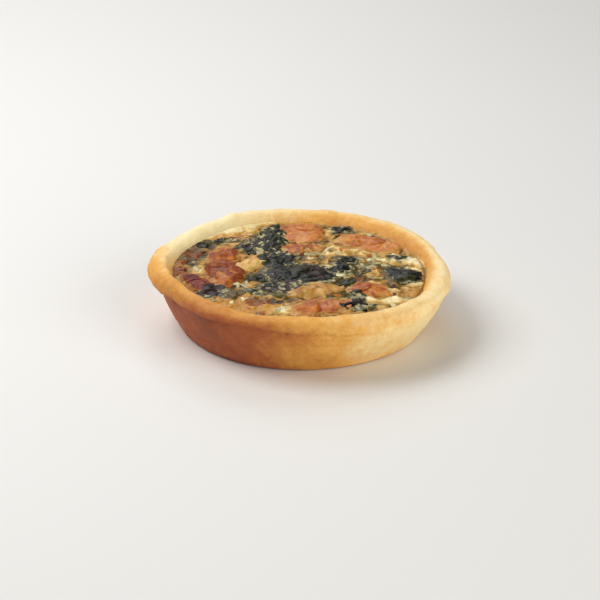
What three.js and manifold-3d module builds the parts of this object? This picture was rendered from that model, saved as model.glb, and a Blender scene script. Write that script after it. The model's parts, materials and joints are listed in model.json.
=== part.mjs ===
// An individual salmon and spinach quiche, baked in a small sloping tart tin: a thick shortcrust
// case with a thumbed lip, a set egg custard inside it, and flakes of salmon and clumps of wilted
// spinach sunk into the top of the custard.
//
// Millimetres, +Z up. The origin is on the flat underside, below the middle of the quiche's own
// box. +X is the side where the rim is lowest and thinnest, and -X where its lip hangs over most.
// Angles run from +X towards +Y.

import * as THREE from "three";
import { mergeVertices } from "three/addons/utils/BufferGeometryUtils.js";
import Module from "manifold-3d";

const wasm = await Module();
wasm.setup();

// ---------------------------------------------------------------- driving dimensions

const LIP_RADIUS = 59.1; // the widest ring of the rim
const LIP_HEIGHT = 20.6; // height of that ring
const LIP_ROUNDING = 2.8; // how far the lip's roundness reaches before it turns into the crest
const CREST_RADIUS = 54.7; // the top line of the rim
const CREST_HEIGHT = 25;
const OVERHANG = 1.9; // how far the lip stands out beyond the neck below it
const NECK_HEIGHT = 18.6; // where the lip turns back into the side wall
const WALL_BELLY = 1.1; // how far the side wall swells out between its foot and its neck
const BASE_RADIUS = 48.4; // the foot of the side wall
const BASE_EDGE = 2.2; // rounding between the side wall and the underside
const FLOOR_THICKNESS = 3.2; // pastry under the custard
const FLOOR_TURN = 6.4; // height at which the floor has turned up into the inner side
const INNER_FLOOR_RADIUS = 42.6; // inside of the case at its floor
const INNER_RADIUS = 49.9; // inside of the case at the top of the custard
const FILL_HEIGHT = 21.3; // top of the custard at its edge
const FILL_DOME = 0.8; // how much higher the custard has set in its middle
const GAP = 0.35; // clearance between pieces that touch
const POCKET_GAP = 1.15; // clearance round a topping where the custard has shrunk back from it
const POCKET_MOUTH = 1.3; // how far a pocket's mouth is above the custard, over its highest lump

const SEGMENTS = 72; // round the case
const FILL_SEGMENTS = 42; // round the custard
const FILL_RINGS = 6; // from the custard's middle to its edge

const RADIANS = Math.PI / 180;

// ---------------------------------------------------------------- unevenness

// Each wave is [order, size in mm, angle of its peak in degrees].
const LIP_WAVES = [[1, 0.5, 200], [2, 0.4, 130], [3, 0.5, 65], [4, 0.45, 70], [5, 0.25, 35], [6, 0.25, 50]];
const LIP_HEIGHT_WAVES = [[1, 0.8, 235], [2, 0.4, 70], [5, 0.15, 40]];
const CREST_WAVES = [[2, 0.8, 115], [3, 0.2, 65], [4, 0.25, 60], [5, 0.2, 35]];
const CREST_HEIGHT_WAVES = [[1, 1, 185], [2, 0.5, 55], [3, 0.3, 90], [4, 0.35, 20], [5, 0.35, 55]];
const NECK_HEIGHT_WAVES = [[1, 1.3, 240], [2, 0.6, 50], [3, 0.3, 110], [4, 0.2, 75], [5, 0.25, 35]];
const BASE_WAVES = [[2, 0.45, 140], [4, 0.2, 80]];
const INNER_WAVES = [[1, 1, 250], [2, 0.9, 125], [3, 0.8, 85], [5, 0.5, 30]];

// Each swell is [angle of its middle in degrees, half width in degrees, size in mm].
const LIP_SWELLS = [[176, 20, 0.15], [213, 15, -1.6]];
const OVERHANG_SWELLS = [[176, 26, 2.2], [312, 26, -1.5]];

/** The sum of a list of waves at an angle in radians. */
function wave(angle, waves) {
  return waves.reduce(
    (sum, [order, size, peak]) => sum + size * Math.cos(order * (angle - peak * RADIANS)),
    0,
  );
}

/** The sum of a list of swells at an angle in radians: each is a hill that dies out sideways. */
function swell(angle, swells) {
  return swells.reduce((sum, [middle, halfWidth, size]) => {
    const turn = THREE.MathUtils.euclideanModulo(angle / RADIANS - middle + 180, 360) - 180;
    return sum + size * Math.exp(-((turn / halfWidth) ** 2));
  }, 0);
}

/** A repeatable number from 0 to 1 for a lattice point. */
function lattice(i, j, seed) {
  const s = Math.sin(i * 127.1 + j * 311.7 + seed * 74.7) * 43758.5453;
  return s - Math.floor(s);
}

/** Smooth noise from -1 to 1 over a plane whose lattice is one unit wide. */
function noise(x, y, seed) {
  const i = Math.floor(x);
  const j = Math.floor(y);
  const u = THREE.MathUtils.smoothstep(x - i, 0, 1);
  const v = THREE.MathUtils.smoothstep(y - j, 0, 1);
  const low = THREE.MathUtils.lerp(lattice(i, j, seed), lattice(i + 1, j, seed), u);
  const high = THREE.MathUtils.lerp(lattice(i, j + 1, seed), lattice(i + 1, j + 1, seed), u);
  return 2 * THREE.MathUtils.lerp(low, high, v) - 1;
}

// ---------------------------------------------------------------- surfaces and solids

/** A closed surface from points and triangles, as a geometry. */
function surface(points, triangles) {
  const geometry = new THREE.BufferGeometry();
  geometry.setAttribute("position", new THREE.Float32BufferAttribute(points.flat(), 3));
  geometry.setIndex(triangles.flat());
  return mergeVertices(geometry, 1e-4);
}

/**
 * A closed surface round the Z axis. sectionAt(angle) gives the same number of [radius, height]
 * pairs at every angle, from the underside to the top. The first and last close at the axis.
 */
function roundSurface(sectionAt, segments) {
  const angles = Array.from({ length: segments }, (_, s) => (2 * Math.PI * s) / segments);
  const sections = angles.map(sectionAt);
  const rings = sections[0].length;
  const points = sections.flatMap((section, s) =>
    section.map(([r, z]) => [r * Math.cos(angles[s]), r * Math.sin(angles[s]), z]),
  );
  const meanHeight = (ring) =>
    sections.reduce((sum, section) => sum + section[ring][1], 0) / segments;
  const under = points.push([0, 0, meanHeight(0)]) - 1;
  const over = points.push([0, 0, meanHeight(rings - 1)]) - 1;
  const triangles = [];
  for (let s = 0; s < segments; s++) {
    const here = s * rings;
    const next = ((s + 1) % segments) * rings;
    for (let k = 0; k < rings - 1; k++) {
      triangles.push([here + k, next + k, next + k + 1], [here + k, next + k + 1, here + k + 1]);
    }
    triangles.push([under, next, here], [over, here + rings - 1, next + rings - 1]);
  }
  return surface(points, triangles);
}

/** The geometry as a solid that can be joined and cut. */
function solidOf(geometry) {
  return new wasm.Manifold(
    new wasm.Mesh({
      numProp: 3,
      vertProperties: geometry.getAttribute("position").array,
      triVerts: new Uint32Array(geometry.index.array),
    }),
  );
}

/** A solid's surface as a geometry. */
function geometryOf(solid) {
  const made = solid.getMesh();
  const geometry = new THREE.BufferGeometry();
  geometry.setAttribute("position", new THREE.BufferAttribute(made.vertProperties, 3));
  geometry.setIndex(new THREE.BufferAttribute(made.triVerts, 1));
  return geometry;
}

// ---------------------------------------------------------------- pastry case

/** Radius of the case's inside at an angle and a height. */
function innerRadius(angle, height) {
  const share = (height - FLOOR_THICKNESS) / (FILL_HEIGHT - FLOOR_THICKNESS);
  const plain = THREE.MathUtils.lerp(INNER_FLOOR_RADIUS, INNER_RADIUS, share);
  return plain + wave(angle, INNER_WAVES) * THREE.MathUtils.clamp(share, 0, 1);
}

/** The case's cross-section at an angle, from its underside round the lip to its floor. */
function caseSection(angle) {
  const base = BASE_RADIUS + wave(angle, BASE_WAVES);
  const lip = LIP_RADIUS + wave(angle, LIP_WAVES) + swell(angle, LIP_SWELLS);
  const overhang = OVERHANG + swell(angle, OVERHANG_SWELLS);
  const neckHeight = NECK_HEIGHT + wave(angle, NECK_HEIGHT_WAVES);
  const lipHeight = LIP_HEIGHT + wave(angle, LIP_HEIGHT_WAVES);
  const inner = innerRadius(angle, FILL_HEIGHT);

  const at = (radius, height) => new THREE.Vector2(radius, height);
  const soleEdge = at(base - BASE_EDGE, 0);
  const foot = at(base + BASE_EDGE / 5, BASE_EDGE);
  const neck = at(lip - overhang, neckHeight);
  const outermost = at(lip, lipHeight);
  const crest = at(CREST_RADIUS + wave(angle, CREST_WAVES), CREST_HEIGHT + wave(angle, CREST_HEIGHT_WAVES));
  const fillEdge = at(inner, FILL_HEIGHT);
  const turn = at(innerRadius(angle, FLOOR_TURN), FLOOR_TURN);
  const floor = at(INNER_FLOOR_RADIUS - FLOOR_TURN, FLOOR_THICKNESS);

  const belly = at((foot.x + neck.x) / 2 + WALL_BELLY, neckHeight / 2);
  const underLip = at(lip - overhang / 2, neckHeight);
  const lipSide = at(lip, THREE.MathUtils.lerp(lipHeight, neckHeight, 0.6));
  const lipShoulder = at(lip, lipHeight + LIP_ROUNDING);
  const crestOutside = at(crest.x + LIP_ROUNDING, crest.y);
  const crestInside = at(crest.x - 0.75 * LIP_ROUNDING, crest.y);
  const aboveFill = at(inner + 0.5 * LIP_ROUNDING, FILL_HEIGHT + 0.85 * LIP_ROUNDING);
  const corner = at(innerRadius(angle, FLOOR_THICKNESS), FLOOR_THICKNESS);

  const runs = [
    [new THREE.QuadraticBezierCurve(soleEdge, at(base, 0), foot), 2],
    [new THREE.QuadraticBezierCurve(foot, belly, neck), 4],
    [new THREE.CubicBezierCurve(neck, underLip, lipSide, outermost), 3],
    [new THREE.CubicBezierCurve(outermost, lipShoulder, crestOutside, crest), 5],
    [new THREE.CubicBezierCurve(crest, crestInside, aboveFill, fillEdge), 4],
    [new THREE.LineCurve(fillEdge, turn), 1],
    [new THREE.QuadraticBezierCurve(turn, corner, floor), 2],
  ];
  const points = runs.flatMap(([curve, pieces]) => curve.getPoints(pieces).slice(1));
  return [soleEdge, ...points].map((p) => [p.x, p.y]);
}

// ---------------------------------------------------------------- custard

/** Height of the custard's lumpy top at a place. */
function custardHeight(x, y) {
  const share = Math.hypot(x, y) / INNER_RADIUS;
  const lumps = 0.45 * noise(x / 11, y / 11, 3) + 0.3 * noise(x / 5.5, y / 5.5, 8);
  return FILL_HEIGHT + FILL_DOME * (1 - share * share) + lumps * (1 - 0.5 * share ** 4);
}

/** The custard's cross-section at an angle, from its underside to the middle of its top. */
function custardSection(angle) {
  const low = FLOOR_THICKNESS + GAP;
  const section = [
    [INNER_FLOOR_RADIUS - FLOOR_TURN - GAP, low],
    [innerRadius(angle, FLOOR_THICKNESS) - 0.3 * FLOOR_TURN - GAP, low + 0.14 * FLOOR_TURN],
    [innerRadius(angle, FLOOR_TURN) - 2 * GAP, FLOOR_TURN + GAP],
  ];
  const edge = innerRadius(angle, FILL_HEIGHT) - GAP;
  for (let k = FILL_RINGS; k >= 1; k--) {
    // The rings crowd towards the edge, where the custard meets the pastry.
    const r = edge * Math.sin((Math.PI / 2) * (k / FILL_RINGS)) ** 1.25;
    section.push([r, custardHeight(r * Math.cos(angle), r * Math.sin(angle))]);
  }
  return section;
}

// ---------------------------------------------------------------- topping shapes

/** Even places from -1 to 1. */
function evenLines(count) {
  return Array.from({ length: count }, (_, i) => (2 * i) / (count - 1) - 1);
}

/**
 * A closed pillow over a grid: length along its own X, width along its own Y. lines and rows are
 * the places from -1 to 1 of the grid's lines. The grid's square is rounded towards an oval, and
 * its outline pushed in and out by outlineAt. topAt and lowAt give the heights of the two faces,
 * and edge is the height of the line where they meet.
 */
function pillow({ length, width, lines, rows, outlineAt, topAt, lowAt, edge }) {
  const points = [];
  const triangles = [];
  const lastLine = lines.length - 1;
  const lastRow = rows.length - 1;
  const onEdge = (i, j) => i === 0 || j === 0 || i === lastLine || j === lastRow;
  const put = (i, j, heightAt) => {
    const [u, v] = [lines[i], rows[j]];
    const x = u * Math.sqrt(1 - (v * v) / 2.5);
    const y = v * Math.sqrt(1 - (u * u) / 2.5);
    const reach = outlineAt(Math.atan2(y, x));
    const height = onEdge(i, j) ? edge : heightAt(x, y, u, v);
    return points.push([(x * reach * length) / 2, (y * reach * width) / 2, height]) - 1;
  };
  const top = lines.map((_, i) => rows.map((__, j) => put(i, j, topAt)));
  const low = top.map((column, i) =>
    column.map((index, j) => (onEdge(i, j) ? index : put(i, j, lowAt))),
  );
  for (let i = 0; i < lastLine; i++) {
    for (let j = 0; j < lastRow; j++) {
      const [a, b, c, d] = [top[i][j], top[i + 1][j], top[i + 1][j + 1], top[i][j + 1]];
      const [e, f, g, h] = [low[i][j], low[i + 1][j], low[i + 1][j + 1], low[i][j + 1]];
      // The cells at two opposite corners are split the other way, so that no triangle has all
      // its corners on the edge.
      const turned = (i === 0 && j === 0) || (i === lastLine - 1 && j === lastRow - 1);
      triangles.push(...(turned ? [[a, b, c], [a, c, d]] : [[a, b, d], [b, c, d]]));
      triangles.push(...(turned ? [[e, g, f], [e, h, g]] : [[e, h, f], [f, h, g]]));
    }
  }
  return surface(points, triangles);
}

/** The underside of a topping: a shallow bowl below its edge, fuller for a smaller power. */
function bowl(u, v, edge, depth, power) {
  return edge - (depth + edge) * (1 - Math.max(u * u, v * v)) ** power;
}

const PLATE_LENGTH = 4.4; // of one plate of muscle along a flake of salmon
const TOPPING_EDGE = 0.15; // height of a topping's widest line, as a share of its rise

/**
 * A flake of cooked salmon: plates of muscle that overlap like tiles, each climbing slowly along
 * the flake and dropping off at its end.
 */
function salmonFlake({ length, width, rise, sink, seed }, grow) {
  const plates = Math.max(3, Math.round(length / PLATE_LENGTH));
  const step = 0.34 * rise; // how far a plate's end stands above the next plate
  const edge = TOPPING_EDGE * rise;
  const breaks = evenLines(plates + 1).slice(1, -1);
  return pillow({
    length: length + 2 * grow,
    width: width + 2 * grow,
    lines: [-1, ...breaks.flatMap((at) => [at - 0.14 / plates, at + 0.36 / plates]), 1],
    rows: evenLines(6),
    outlineAt: (angle) => salmonOutline(angle, seed),
    topAt: (x, y, u, v) => {
      const dome = 1 - Math.max(Math.abs(u), Math.abs(v)) ** 3.2;
      const along = ((u + 1) / 2) * plates;
      const share = along - Math.floor(along + 0.08);
      const bow = 0.16 * rise * noise(2.2 * x + seed, 2.2 * y, seed + 5);
      return edge + dome * (0.78 * rise + step * (share - 0.5) + bow - edge + grow);
    },
    lowAt: (x, y, u, v) => bowl(u, v, edge, sink + grow, 0.6),
    edge,
  });
}

/** How far a salmon flake reaches in a direction, as a share of its oval. */
function salmonOutline(angle, seed) {
  return 0.95 + 0.11 * noise(seed + 1.5 * Math.cos(angle), 1.5 * Math.sin(angle), seed);
}

/** A clump of wilted spinach: a leaf crumpled into ridges and hollows, with a ragged outline. */
function spinachClump({ length, width, rise, sink, seed }, grow) {
  const edge = TOPPING_EDGE * rise;
  return pillow({
    length: length + 2 * grow,
    width: width + 2 * grow,
    lines: evenLines(length > 16 ? 10 : 8),
    rows: evenLines(length > 9 ? 6 : 5),
    outlineAt: (angle) => spinachOutline(angle, seed),
    topAt: (x, y, u, v) => {
      const dome = 1 - Math.max(Math.abs(u), Math.abs(v)) ** 2.4;
      const fold = 1 - 2 * Math.abs(noise((x * length) / 6.5, (y * width) / 4.6, seed));
      return edge + dome * (0.55 * rise + 0.36 * rise * fold - edge + grow);
    },
    lowAt: (x, y, u, v) => bowl(u, v, edge, sink + grow, 0.6),
    edge,
  });
}

/** How far a spinach clump reaches in a direction, as a share of its oval. */
function spinachOutline(angle, seed) {
  return 0.92 + 0.15 * noise(seed + 1.8 * Math.cos(angle), 1.8 * Math.sin(angle), seed + 2);
}

/** The room the custard leaves for a topping, open at the top. */
function pocket({ name, length, width, rise, sink, seed }) {
  const outline = isSalmon(name) ? salmonOutline : spinachOutline;
  return pillow({
    length: length + 2 * POCKET_GAP,
    width: width + 2 * POCKET_GAP,
    lines: [-1, -0.82, -0.3, 0.3, 0.82, 1],
    rows: [-1, -0.78, 0, 0.78, 1],
    outlineAt: (angle) => outline(angle, seed),
    topAt: () => POCKET_MOUTH + rise,
    lowAt: (x, y, u, v) => bowl(u, v, POCKET_MOUTH, sink + POCKET_GAP, 0.35),
    edge: POCKET_MOUTH,
  });
}

// ---------------------------------------------------------------- where the toppings lie

// Each topping's middle, the turn of its long side in degrees, its length and width, and how far
// it stands above the custard and is sunk into it.
const TOPPINGS = [
  { name: "salmon_back", x: -0.4, y: 38.2, turn: 4, length: 18.4, width: 17.4, rise: 2.6, sink: 3 },
  { name: "salmon_right_back", x: 28.2, y: 25.6, turn: -34, length: 26.5, width: 13, rise: 2.8, sink: 3 },
  { name: "salmon_left_upper", x: -31.8, y: 13.6, turn: 8, length: 14, width: 12, rise: 2.6, sink: 3 },
  { name: "salmon_left_lower", x: -29.8, y: -5.6, turn: -50, length: 20.5, width: 16.5, rise: 3, sink: 3 },
  { name: "salmon_front", x: 6.8, y: -37, turn: 3, length: 19.8, width: 12.6, rise: 2.4, sink: 3 },
  { name: "salmon_right", x: 27.4, y: -21.6, turn: -18, length: 14, width: 13.5, rise: 2.6, sink: 3 },
  { name: "salmon_browned", x: -40, y: -14.2, turn: -62, length: 17.5, width: 6.8, rise: 1.8, sink: 2.4 },
  { name: "salmon_middle", x: -0.4, y: 21, turn: -5, length: 14, width: 8.4, rise: 1.8, sink: 2.4 },
  { name: "salmon_pale_left", x: -19.2, y: 4.4, turn: 68, length: 16, width: 10, rise: 2, sink: 2.4 },
  { name: "salmon_pale_front", x: 6.5, y: -24.6, turn: 6, length: 15.5, width: 9, rise: 2, sink: 2.4 },
  { name: "spinach_back", x: -12, y: 31, turn: 84, length: 27.5, width: 12, rise: 3, sink: 2.4 },
  { name: "spinach_back_left", x: -20.8, y: 25.6, turn: 72, length: 14, width: 7, rise: 2, sink: 2.1 },
  { name: "spinach_centre", x: -8.2, y: 8, turn: 20, length: 13.5, width: 12, rise: 2.6, sink: 2.4 },
  { name: "spinach_leaf", x: 0.8, y: -6.8, turn: -6, length: 27, width: 17.5, rise: 3, sink: 2.6 },
  { name: "spinach_rim", x: 15.4, y: 41, turn: -8, length: 9, width: 6.2, rise: 2, sink: 2.2 },
  { name: "spinach_curl", x: 16.7, y: 2.4, turn: 78, length: 18.5, width: 10.5, rise: 2.6, sink: 2.4 },
  { name: "spinach_right", x: 39.6, y: -7.8, turn: -10, length: 14.5, width: 10, rise: 2.4, sink: 2.4 },
  { name: "spinach_front_right", x: 22.8, y: -34, turn: 14, length: 13.5, width: 10.5, rise: 2, sink: 2.4 },
  { name: "spinach_front_left", x: -32.4, y: -23.4, turn: -40, length: 14.5, width: 9, rise: 2, sink: 2.4 },
  { name: "spinach_strand", x: -20.8, y: -24, turn: -16, length: 14.5, width: 6, rise: 1.6, sink: 2.2 },
  { name: "spinach_front", x: -10.2, y: -22.4, turn: -22, length: 12.5, width: 9.6, rise: 2, sink: 2.2 },
  { name: "spinach_grey", x: 40.4, y: 10.6, turn: -52, length: 11.5, width: 6.4, rise: 1.6, sink: 2.2 },
];

/** Whether a topping is a flake of salmon; the others are clumps of spinach. */
function isSalmon(name) {
  return name.startsWith("salmon");
}

/** A topping's shape, turned and set down in its place on the custard, as a solid. */
function setDown(geometry, topping) {
  geometry.rotateZ(topping.turn * RADIANS);
  geometry.translate(topping.x, topping.y, custardHeight(topping.x, topping.y));
  return solidOf(geometry);
}

// ---------------------------------------------------------------- the quiche

const PASTRY_GOLD = 0xdda860;
const CUSTARD_CREAM = 0xc9b483;
const SALMON_PINK = 0xd98a66;
const SALMON_BROWNED = 0xb9583c;
const SALMON_PALE = 0xd7b27a;
const SPINACH_GREEN = 0x2c3a30;

/** The colour of a topping, from its name. */
function toppingColour(name) {
  if (!isSalmon(name)) return SPINACH_GREEN;
  if (name.startsWith("salmon_pale")) return SALMON_PALE;
  return name === "salmon_browned" ? SALMON_BROWNED : SALMON_PINK;
}

const quiche = new THREE.Group();

/** Adds a named piece to the quiche. */
function addPiece(name, geometry, color, roughness) {
  geometry.computeVertexNormals();
  const look = new THREE.MeshStandardMaterial({ color, roughness, metalness: 0 });
  const piece = new THREE.Mesh(geometry, look);
  piece.name = name;
  quiche.add(piece);
}

addPiece("pastry_case", roundSurface(caseSection, SEGMENTS), PASTRY_GOLD, 0.75);

let custard = solidOf(roundSurface(custardSection, FILL_SEGMENTS));
let taken = null; // the room of every topping so far, with the gap that the next one keeps to it
TOPPINGS.forEach((plain, index) => {
  const topping = { ...plain, seed: index + 11 };
  const shape = isSalmon(topping.name) ? salmonFlake : spinachClump;
  const whole = setDown(shape(topping, 0), topping);
  const room = setDown(shape(topping, GAP), topping);
  const piece = taken ? whole.subtract(taken) : whole;
  taken = taken ? taken.add(room) : room;
  custard = custard.subtract(setDown(pocket(topping), topping));
  addPiece(topping.name, geometryOf(piece), toppingColour(topping.name), 0.45);
});
addPiece("custard", geometryOf(custard), CUSTARD_CREAM, 0.45);

// The quiche stands on Z = 0 with the middle of its box over the origin.
const middle = new THREE.Box3().setFromObject(quiche).getCenter(new THREE.Vector3());
quiche.position.set(-middle.x, -middle.y, 0);

export default quiche;
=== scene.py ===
"""The looks of an individual salmon and spinach quiche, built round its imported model.

The quiche is a thick shortcrust case with a thumbed lip, filled with a set egg custard. Flakes of
salmon and clumps of wilted spinach are sunk into the top of the custard, with finer shreds,
strands and curds between them.

Shapes are worked out in millimetres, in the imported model's own frame, and turned into metres
where a mesh is made: X to the right, Y to the back, Z up from the table. Angles are in degrees
round the middle of the case, from +X towards +Y. Numbers named draw come from a seeded generator,
so every run makes the same quiche.
"""

import itertools
import json
import logging
import math
from dataclasses import dataclass, field, replace
from enum import Enum, IntEnum
from typing import Any, Iterator, Mapping, Sequence

import bpy
import numpy as np
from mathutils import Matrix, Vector
from mathutils.bvhtree import BVHTree

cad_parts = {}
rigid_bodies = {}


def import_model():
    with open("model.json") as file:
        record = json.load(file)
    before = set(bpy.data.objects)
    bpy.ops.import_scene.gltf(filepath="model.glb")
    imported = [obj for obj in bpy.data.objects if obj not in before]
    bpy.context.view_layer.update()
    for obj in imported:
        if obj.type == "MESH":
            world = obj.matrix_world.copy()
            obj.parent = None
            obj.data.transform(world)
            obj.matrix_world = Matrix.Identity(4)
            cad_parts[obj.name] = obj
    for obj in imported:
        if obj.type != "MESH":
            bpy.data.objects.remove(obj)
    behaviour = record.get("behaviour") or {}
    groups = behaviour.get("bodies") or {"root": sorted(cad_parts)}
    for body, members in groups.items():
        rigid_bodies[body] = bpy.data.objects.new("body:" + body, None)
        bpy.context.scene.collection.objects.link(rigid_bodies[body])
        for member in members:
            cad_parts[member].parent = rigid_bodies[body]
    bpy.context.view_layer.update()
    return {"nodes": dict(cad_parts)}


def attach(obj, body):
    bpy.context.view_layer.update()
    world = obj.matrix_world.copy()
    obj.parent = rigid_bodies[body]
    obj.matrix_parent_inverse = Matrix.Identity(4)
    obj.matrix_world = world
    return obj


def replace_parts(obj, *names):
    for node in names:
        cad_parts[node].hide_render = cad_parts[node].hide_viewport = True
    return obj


MM = 0.001
FLAT = 0.01  # points within this many millimetres of the underside lie on it
BODY = "root"
LOG = logging.getLogger("quiche")

Array = np.ndarray
Draw = np.random.Generator
Faces = list[list[int]]
Tree = bpy.types.NodeTree
Socket = bpy.types.NodeSocket

for leftover in list(bpy.data.objects):
    bpy.data.objects.remove(leftover)
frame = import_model()


# ---------------- named choices


class Slot(Enum):
    """The record's material slots."""

    PASTRY = "pastry"
    CUSTARD = "custard"
    SALMON = "salmon"
    SALMON_BROWNED = "salmon_browned"
    SALMON_PALE = "salmon_pale"
    SPINACH = "spinach"


class Station(IntEnum):
    """Points of the case's cross-section, counted along it from the underside to the floor.

    The places between them are fractions: 7.5 is half way from the seventh point to the eighth.
    """

    SOLE_EDGE = 0
    NECK = 6
    CREST = 14
    FILL_EDGE = 18
    FLOOR = 21


class Food(Enum):
    """What a topping is."""

    SALMON = "salmon"
    SPINACH = "spinach"


# ---------------- numbers over many points


def smooth_step(values: Array, low: float, high: float) -> Array:
    """Rises smoothly from 0 at low to 1 at high.

    Args:
        values: the numbers to test.
        low: where the rise starts.
        high: where it ends, which may be below low for a fall.

    Returns:
        A share from 0 to 1 for each value.
    """
    share = np.clip((values - low) / (high - low), 0, 1)
    return share * share * (3 - 2 * share)


def bell(values: Array, middle: float | Array, half_width: float) -> Array:
    """A smooth rise to 1 at the middle, which dies out within two half widths."""
    return np.exp(-(((values - middle) / half_width) ** 2))


class Noise:
    """Smooth repeatable noise in space, worked out for many points at once."""

    # What brings the sum of eight leaning corners to a range of about -1 to 1.
    GAIN = 1.7

    def __init__(self, seed: int) -> None:
        """Draws the noise's directions.

        Args:
            seed: which noise this is.
        """
        draw = np.random.default_rng(seed)
        self._order = draw.permutation(256)
        directions = draw.normal(size=(256, 3))
        self._directions = directions / np.linalg.norm(directions, axis=1, keepdims=True)

    def at(self, points: Array, size: float, stretch: Sequence[float] = (1, 1, 1)) -> Array:
        """Noise of one size.

        Args:
            points: places in millimetres, one a row.
            size: about how far apart its lumps are.
            stretch: how many times longer the lumps are along each axis.

        Returns:
            A number from about -1 to 1 for each place.
        """
        place = points / (size * np.asarray(stretch, float))
        corner = np.floor(place).astype(int)
        inside = place - corner
        fade = inside**3 * (inside * (inside * 6 - 15) + 10)
        total = np.zeros(len(points))
        for step in itertools.product((0, 1), repeat=3):
            key = (corner + step) & 255
            mixed = (self._order[key[:, 0]] + key[:, 1]) & 255
            mixed = (self._order[mixed] + key[:, 2]) & 255
            share = np.prod(np.where(step, fade, 1 - fade), axis=1)
            lean = np.einsum("ij,ij->i", self._directions[self._order[mixed]], inside - step)
            total += share * lean
        return total * self.GAIN

    def _finer(
        self, points: Array, size: float, octaves: int, stretch: Sequence[float], apart: float
    ) -> Iterator[tuple[float, Array]]:
        """Noise of one size and then of ever finer ones.

        Args:
            points: places in millimetres, one a row.
            size: about how far apart the largest lumps are.
            octaves: how many sizes there are, each half the last.
            stretch: how many times longer the lumps are along each axis.
            apart: how many lumps away the next size is read, so that the sizes don't line up.

        Yields:
            Each size's weight and its noise.
        """
        for octave in range(octaves):
            share = 0.5**octave
            yield share, self.at(points + apart * octave * size, size * share, stretch)

    def rough(
        self, points: Array, size: float, octaves: int = 3, stretch: Sequence[float] = (1, 1, 1)
    ) -> Array:
        """Noise with finer noise on it.

        Args:
            points: places in millimetres, one a row.
            size: about how far apart its largest lumps are.
            octaves: how many sizes it has, each half the last.
            stretch: how many times longer the lumps are along each axis.

        Returns:
            A number from about -1 to 1 for each place.
        """
        total = np.zeros(len(points))
        for share, wave in self._finer(points, size, octaves, stretch, apart=17.3):
            total += share * wave
        return total / (2 - 0.5 ** (octaves - 1))

    def ridged(
        self, points: Array, size: float, octaves: int = 3, stretch: Sequence[float] = (1, 1, 1)
    ) -> Array:
        """Noise with sharp ridges, like crumpled leaf.

        Args:
            points: places in millimetres, one a row.
            size: about how far apart its largest ridges are.
            octaves: how many sizes it has, each half the last.
            stretch: how many times longer the ridges are along each axis.

        Returns:
            A number from 0 in the hollows to 1 on the ridges, for each place.
        """
        total = np.zeros(len(points))
        for share, wave in self._finer(points, size, octaves, stretch, apart=31.7):
            total += share * (1 - np.minimum(1, 2 * np.abs(wave))) ** 1.5
        return total / (2 - 0.5 ** (octaves - 1))

    def three(self, points: Array, size: float, shifts: Sequence[float]) -> Array:
        """Noise in three directions at once, for bending a pattern.

        Args:
            points: places in millimetres, one a row.
            size: about how far apart its lumps are.
            shifts: how far away the noise for X, Y and Z is read, so that they differ.

        Returns:
            Three numbers from about -1 to 1 for each place.
        """
        return np.column_stack([self.at(points + shift, size) for shift in shifts])


@dataclass(frozen=True)
class Hill:
    """A rise round the quiche that dies out sideways."""

    middle: float  # degrees
    half_width: float
    size: float

    def at(self, degrees: Array) -> Array:
        """Its height at each angle round the quiche."""
        turn = (degrees - self.middle + 180) % 360 - 180
        return self.size * bell(turn, 0, self.half_width)


def total_hill(hills: Sequence[Hill], degrees: Array) -> Array:
    """The hills' heights added up at each angle."""
    return sum(hill.at(degrees) for hill in hills)


@dataclass(frozen=True)
class Patch:
    """A soft oval patch on the top of the quiche, placed and sized in millimetres."""

    x: float
    y: float
    length: float
    width: float
    turn: float  # degrees
    strength: float

    def at(self, x: Array, y: Array) -> Array:
        """How strong the patch is at each place.

        Args:
            x: how far to the right the places are.
            y: how far to the back they are.

        Returns:
            Its strength at each place, highest in its middle.
        """
        lean = math.radians(self.turn)
        along = (x - self.x) * math.cos(lean) + (y - self.y) * math.sin(lean)
        across = (y - self.y) * math.cos(lean) - (x - self.x) * math.sin(lean)
        distance = (2 * along / self.length) ** 2 + (2 * across / self.width) ** 2
        return self.strength * np.exp(-(distance**1.5))


def total_of(patches: Sequence[Patch], x: Array, y: Array) -> Array:
    """The patches' strengths added up at each place."""
    return sum((patch.at(x, y) for patch in patches), np.zeros_like(x, dtype=float))


def resample_round(values: Array, count: int) -> Array:
    """Numbers at even angles round the quiche, made finer by a smooth curve through them.

    Args:
        values: the numbers, with the angles along the first axis.
        count: how many angles are wanted.

    Returns:
        The numbers at the finer angles.
    """
    waves = np.fft.rfft(values, axis=0)
    return np.fft.irfft(waves, count, axis=0) * (count / len(values))


# ---------------- meshes


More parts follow.
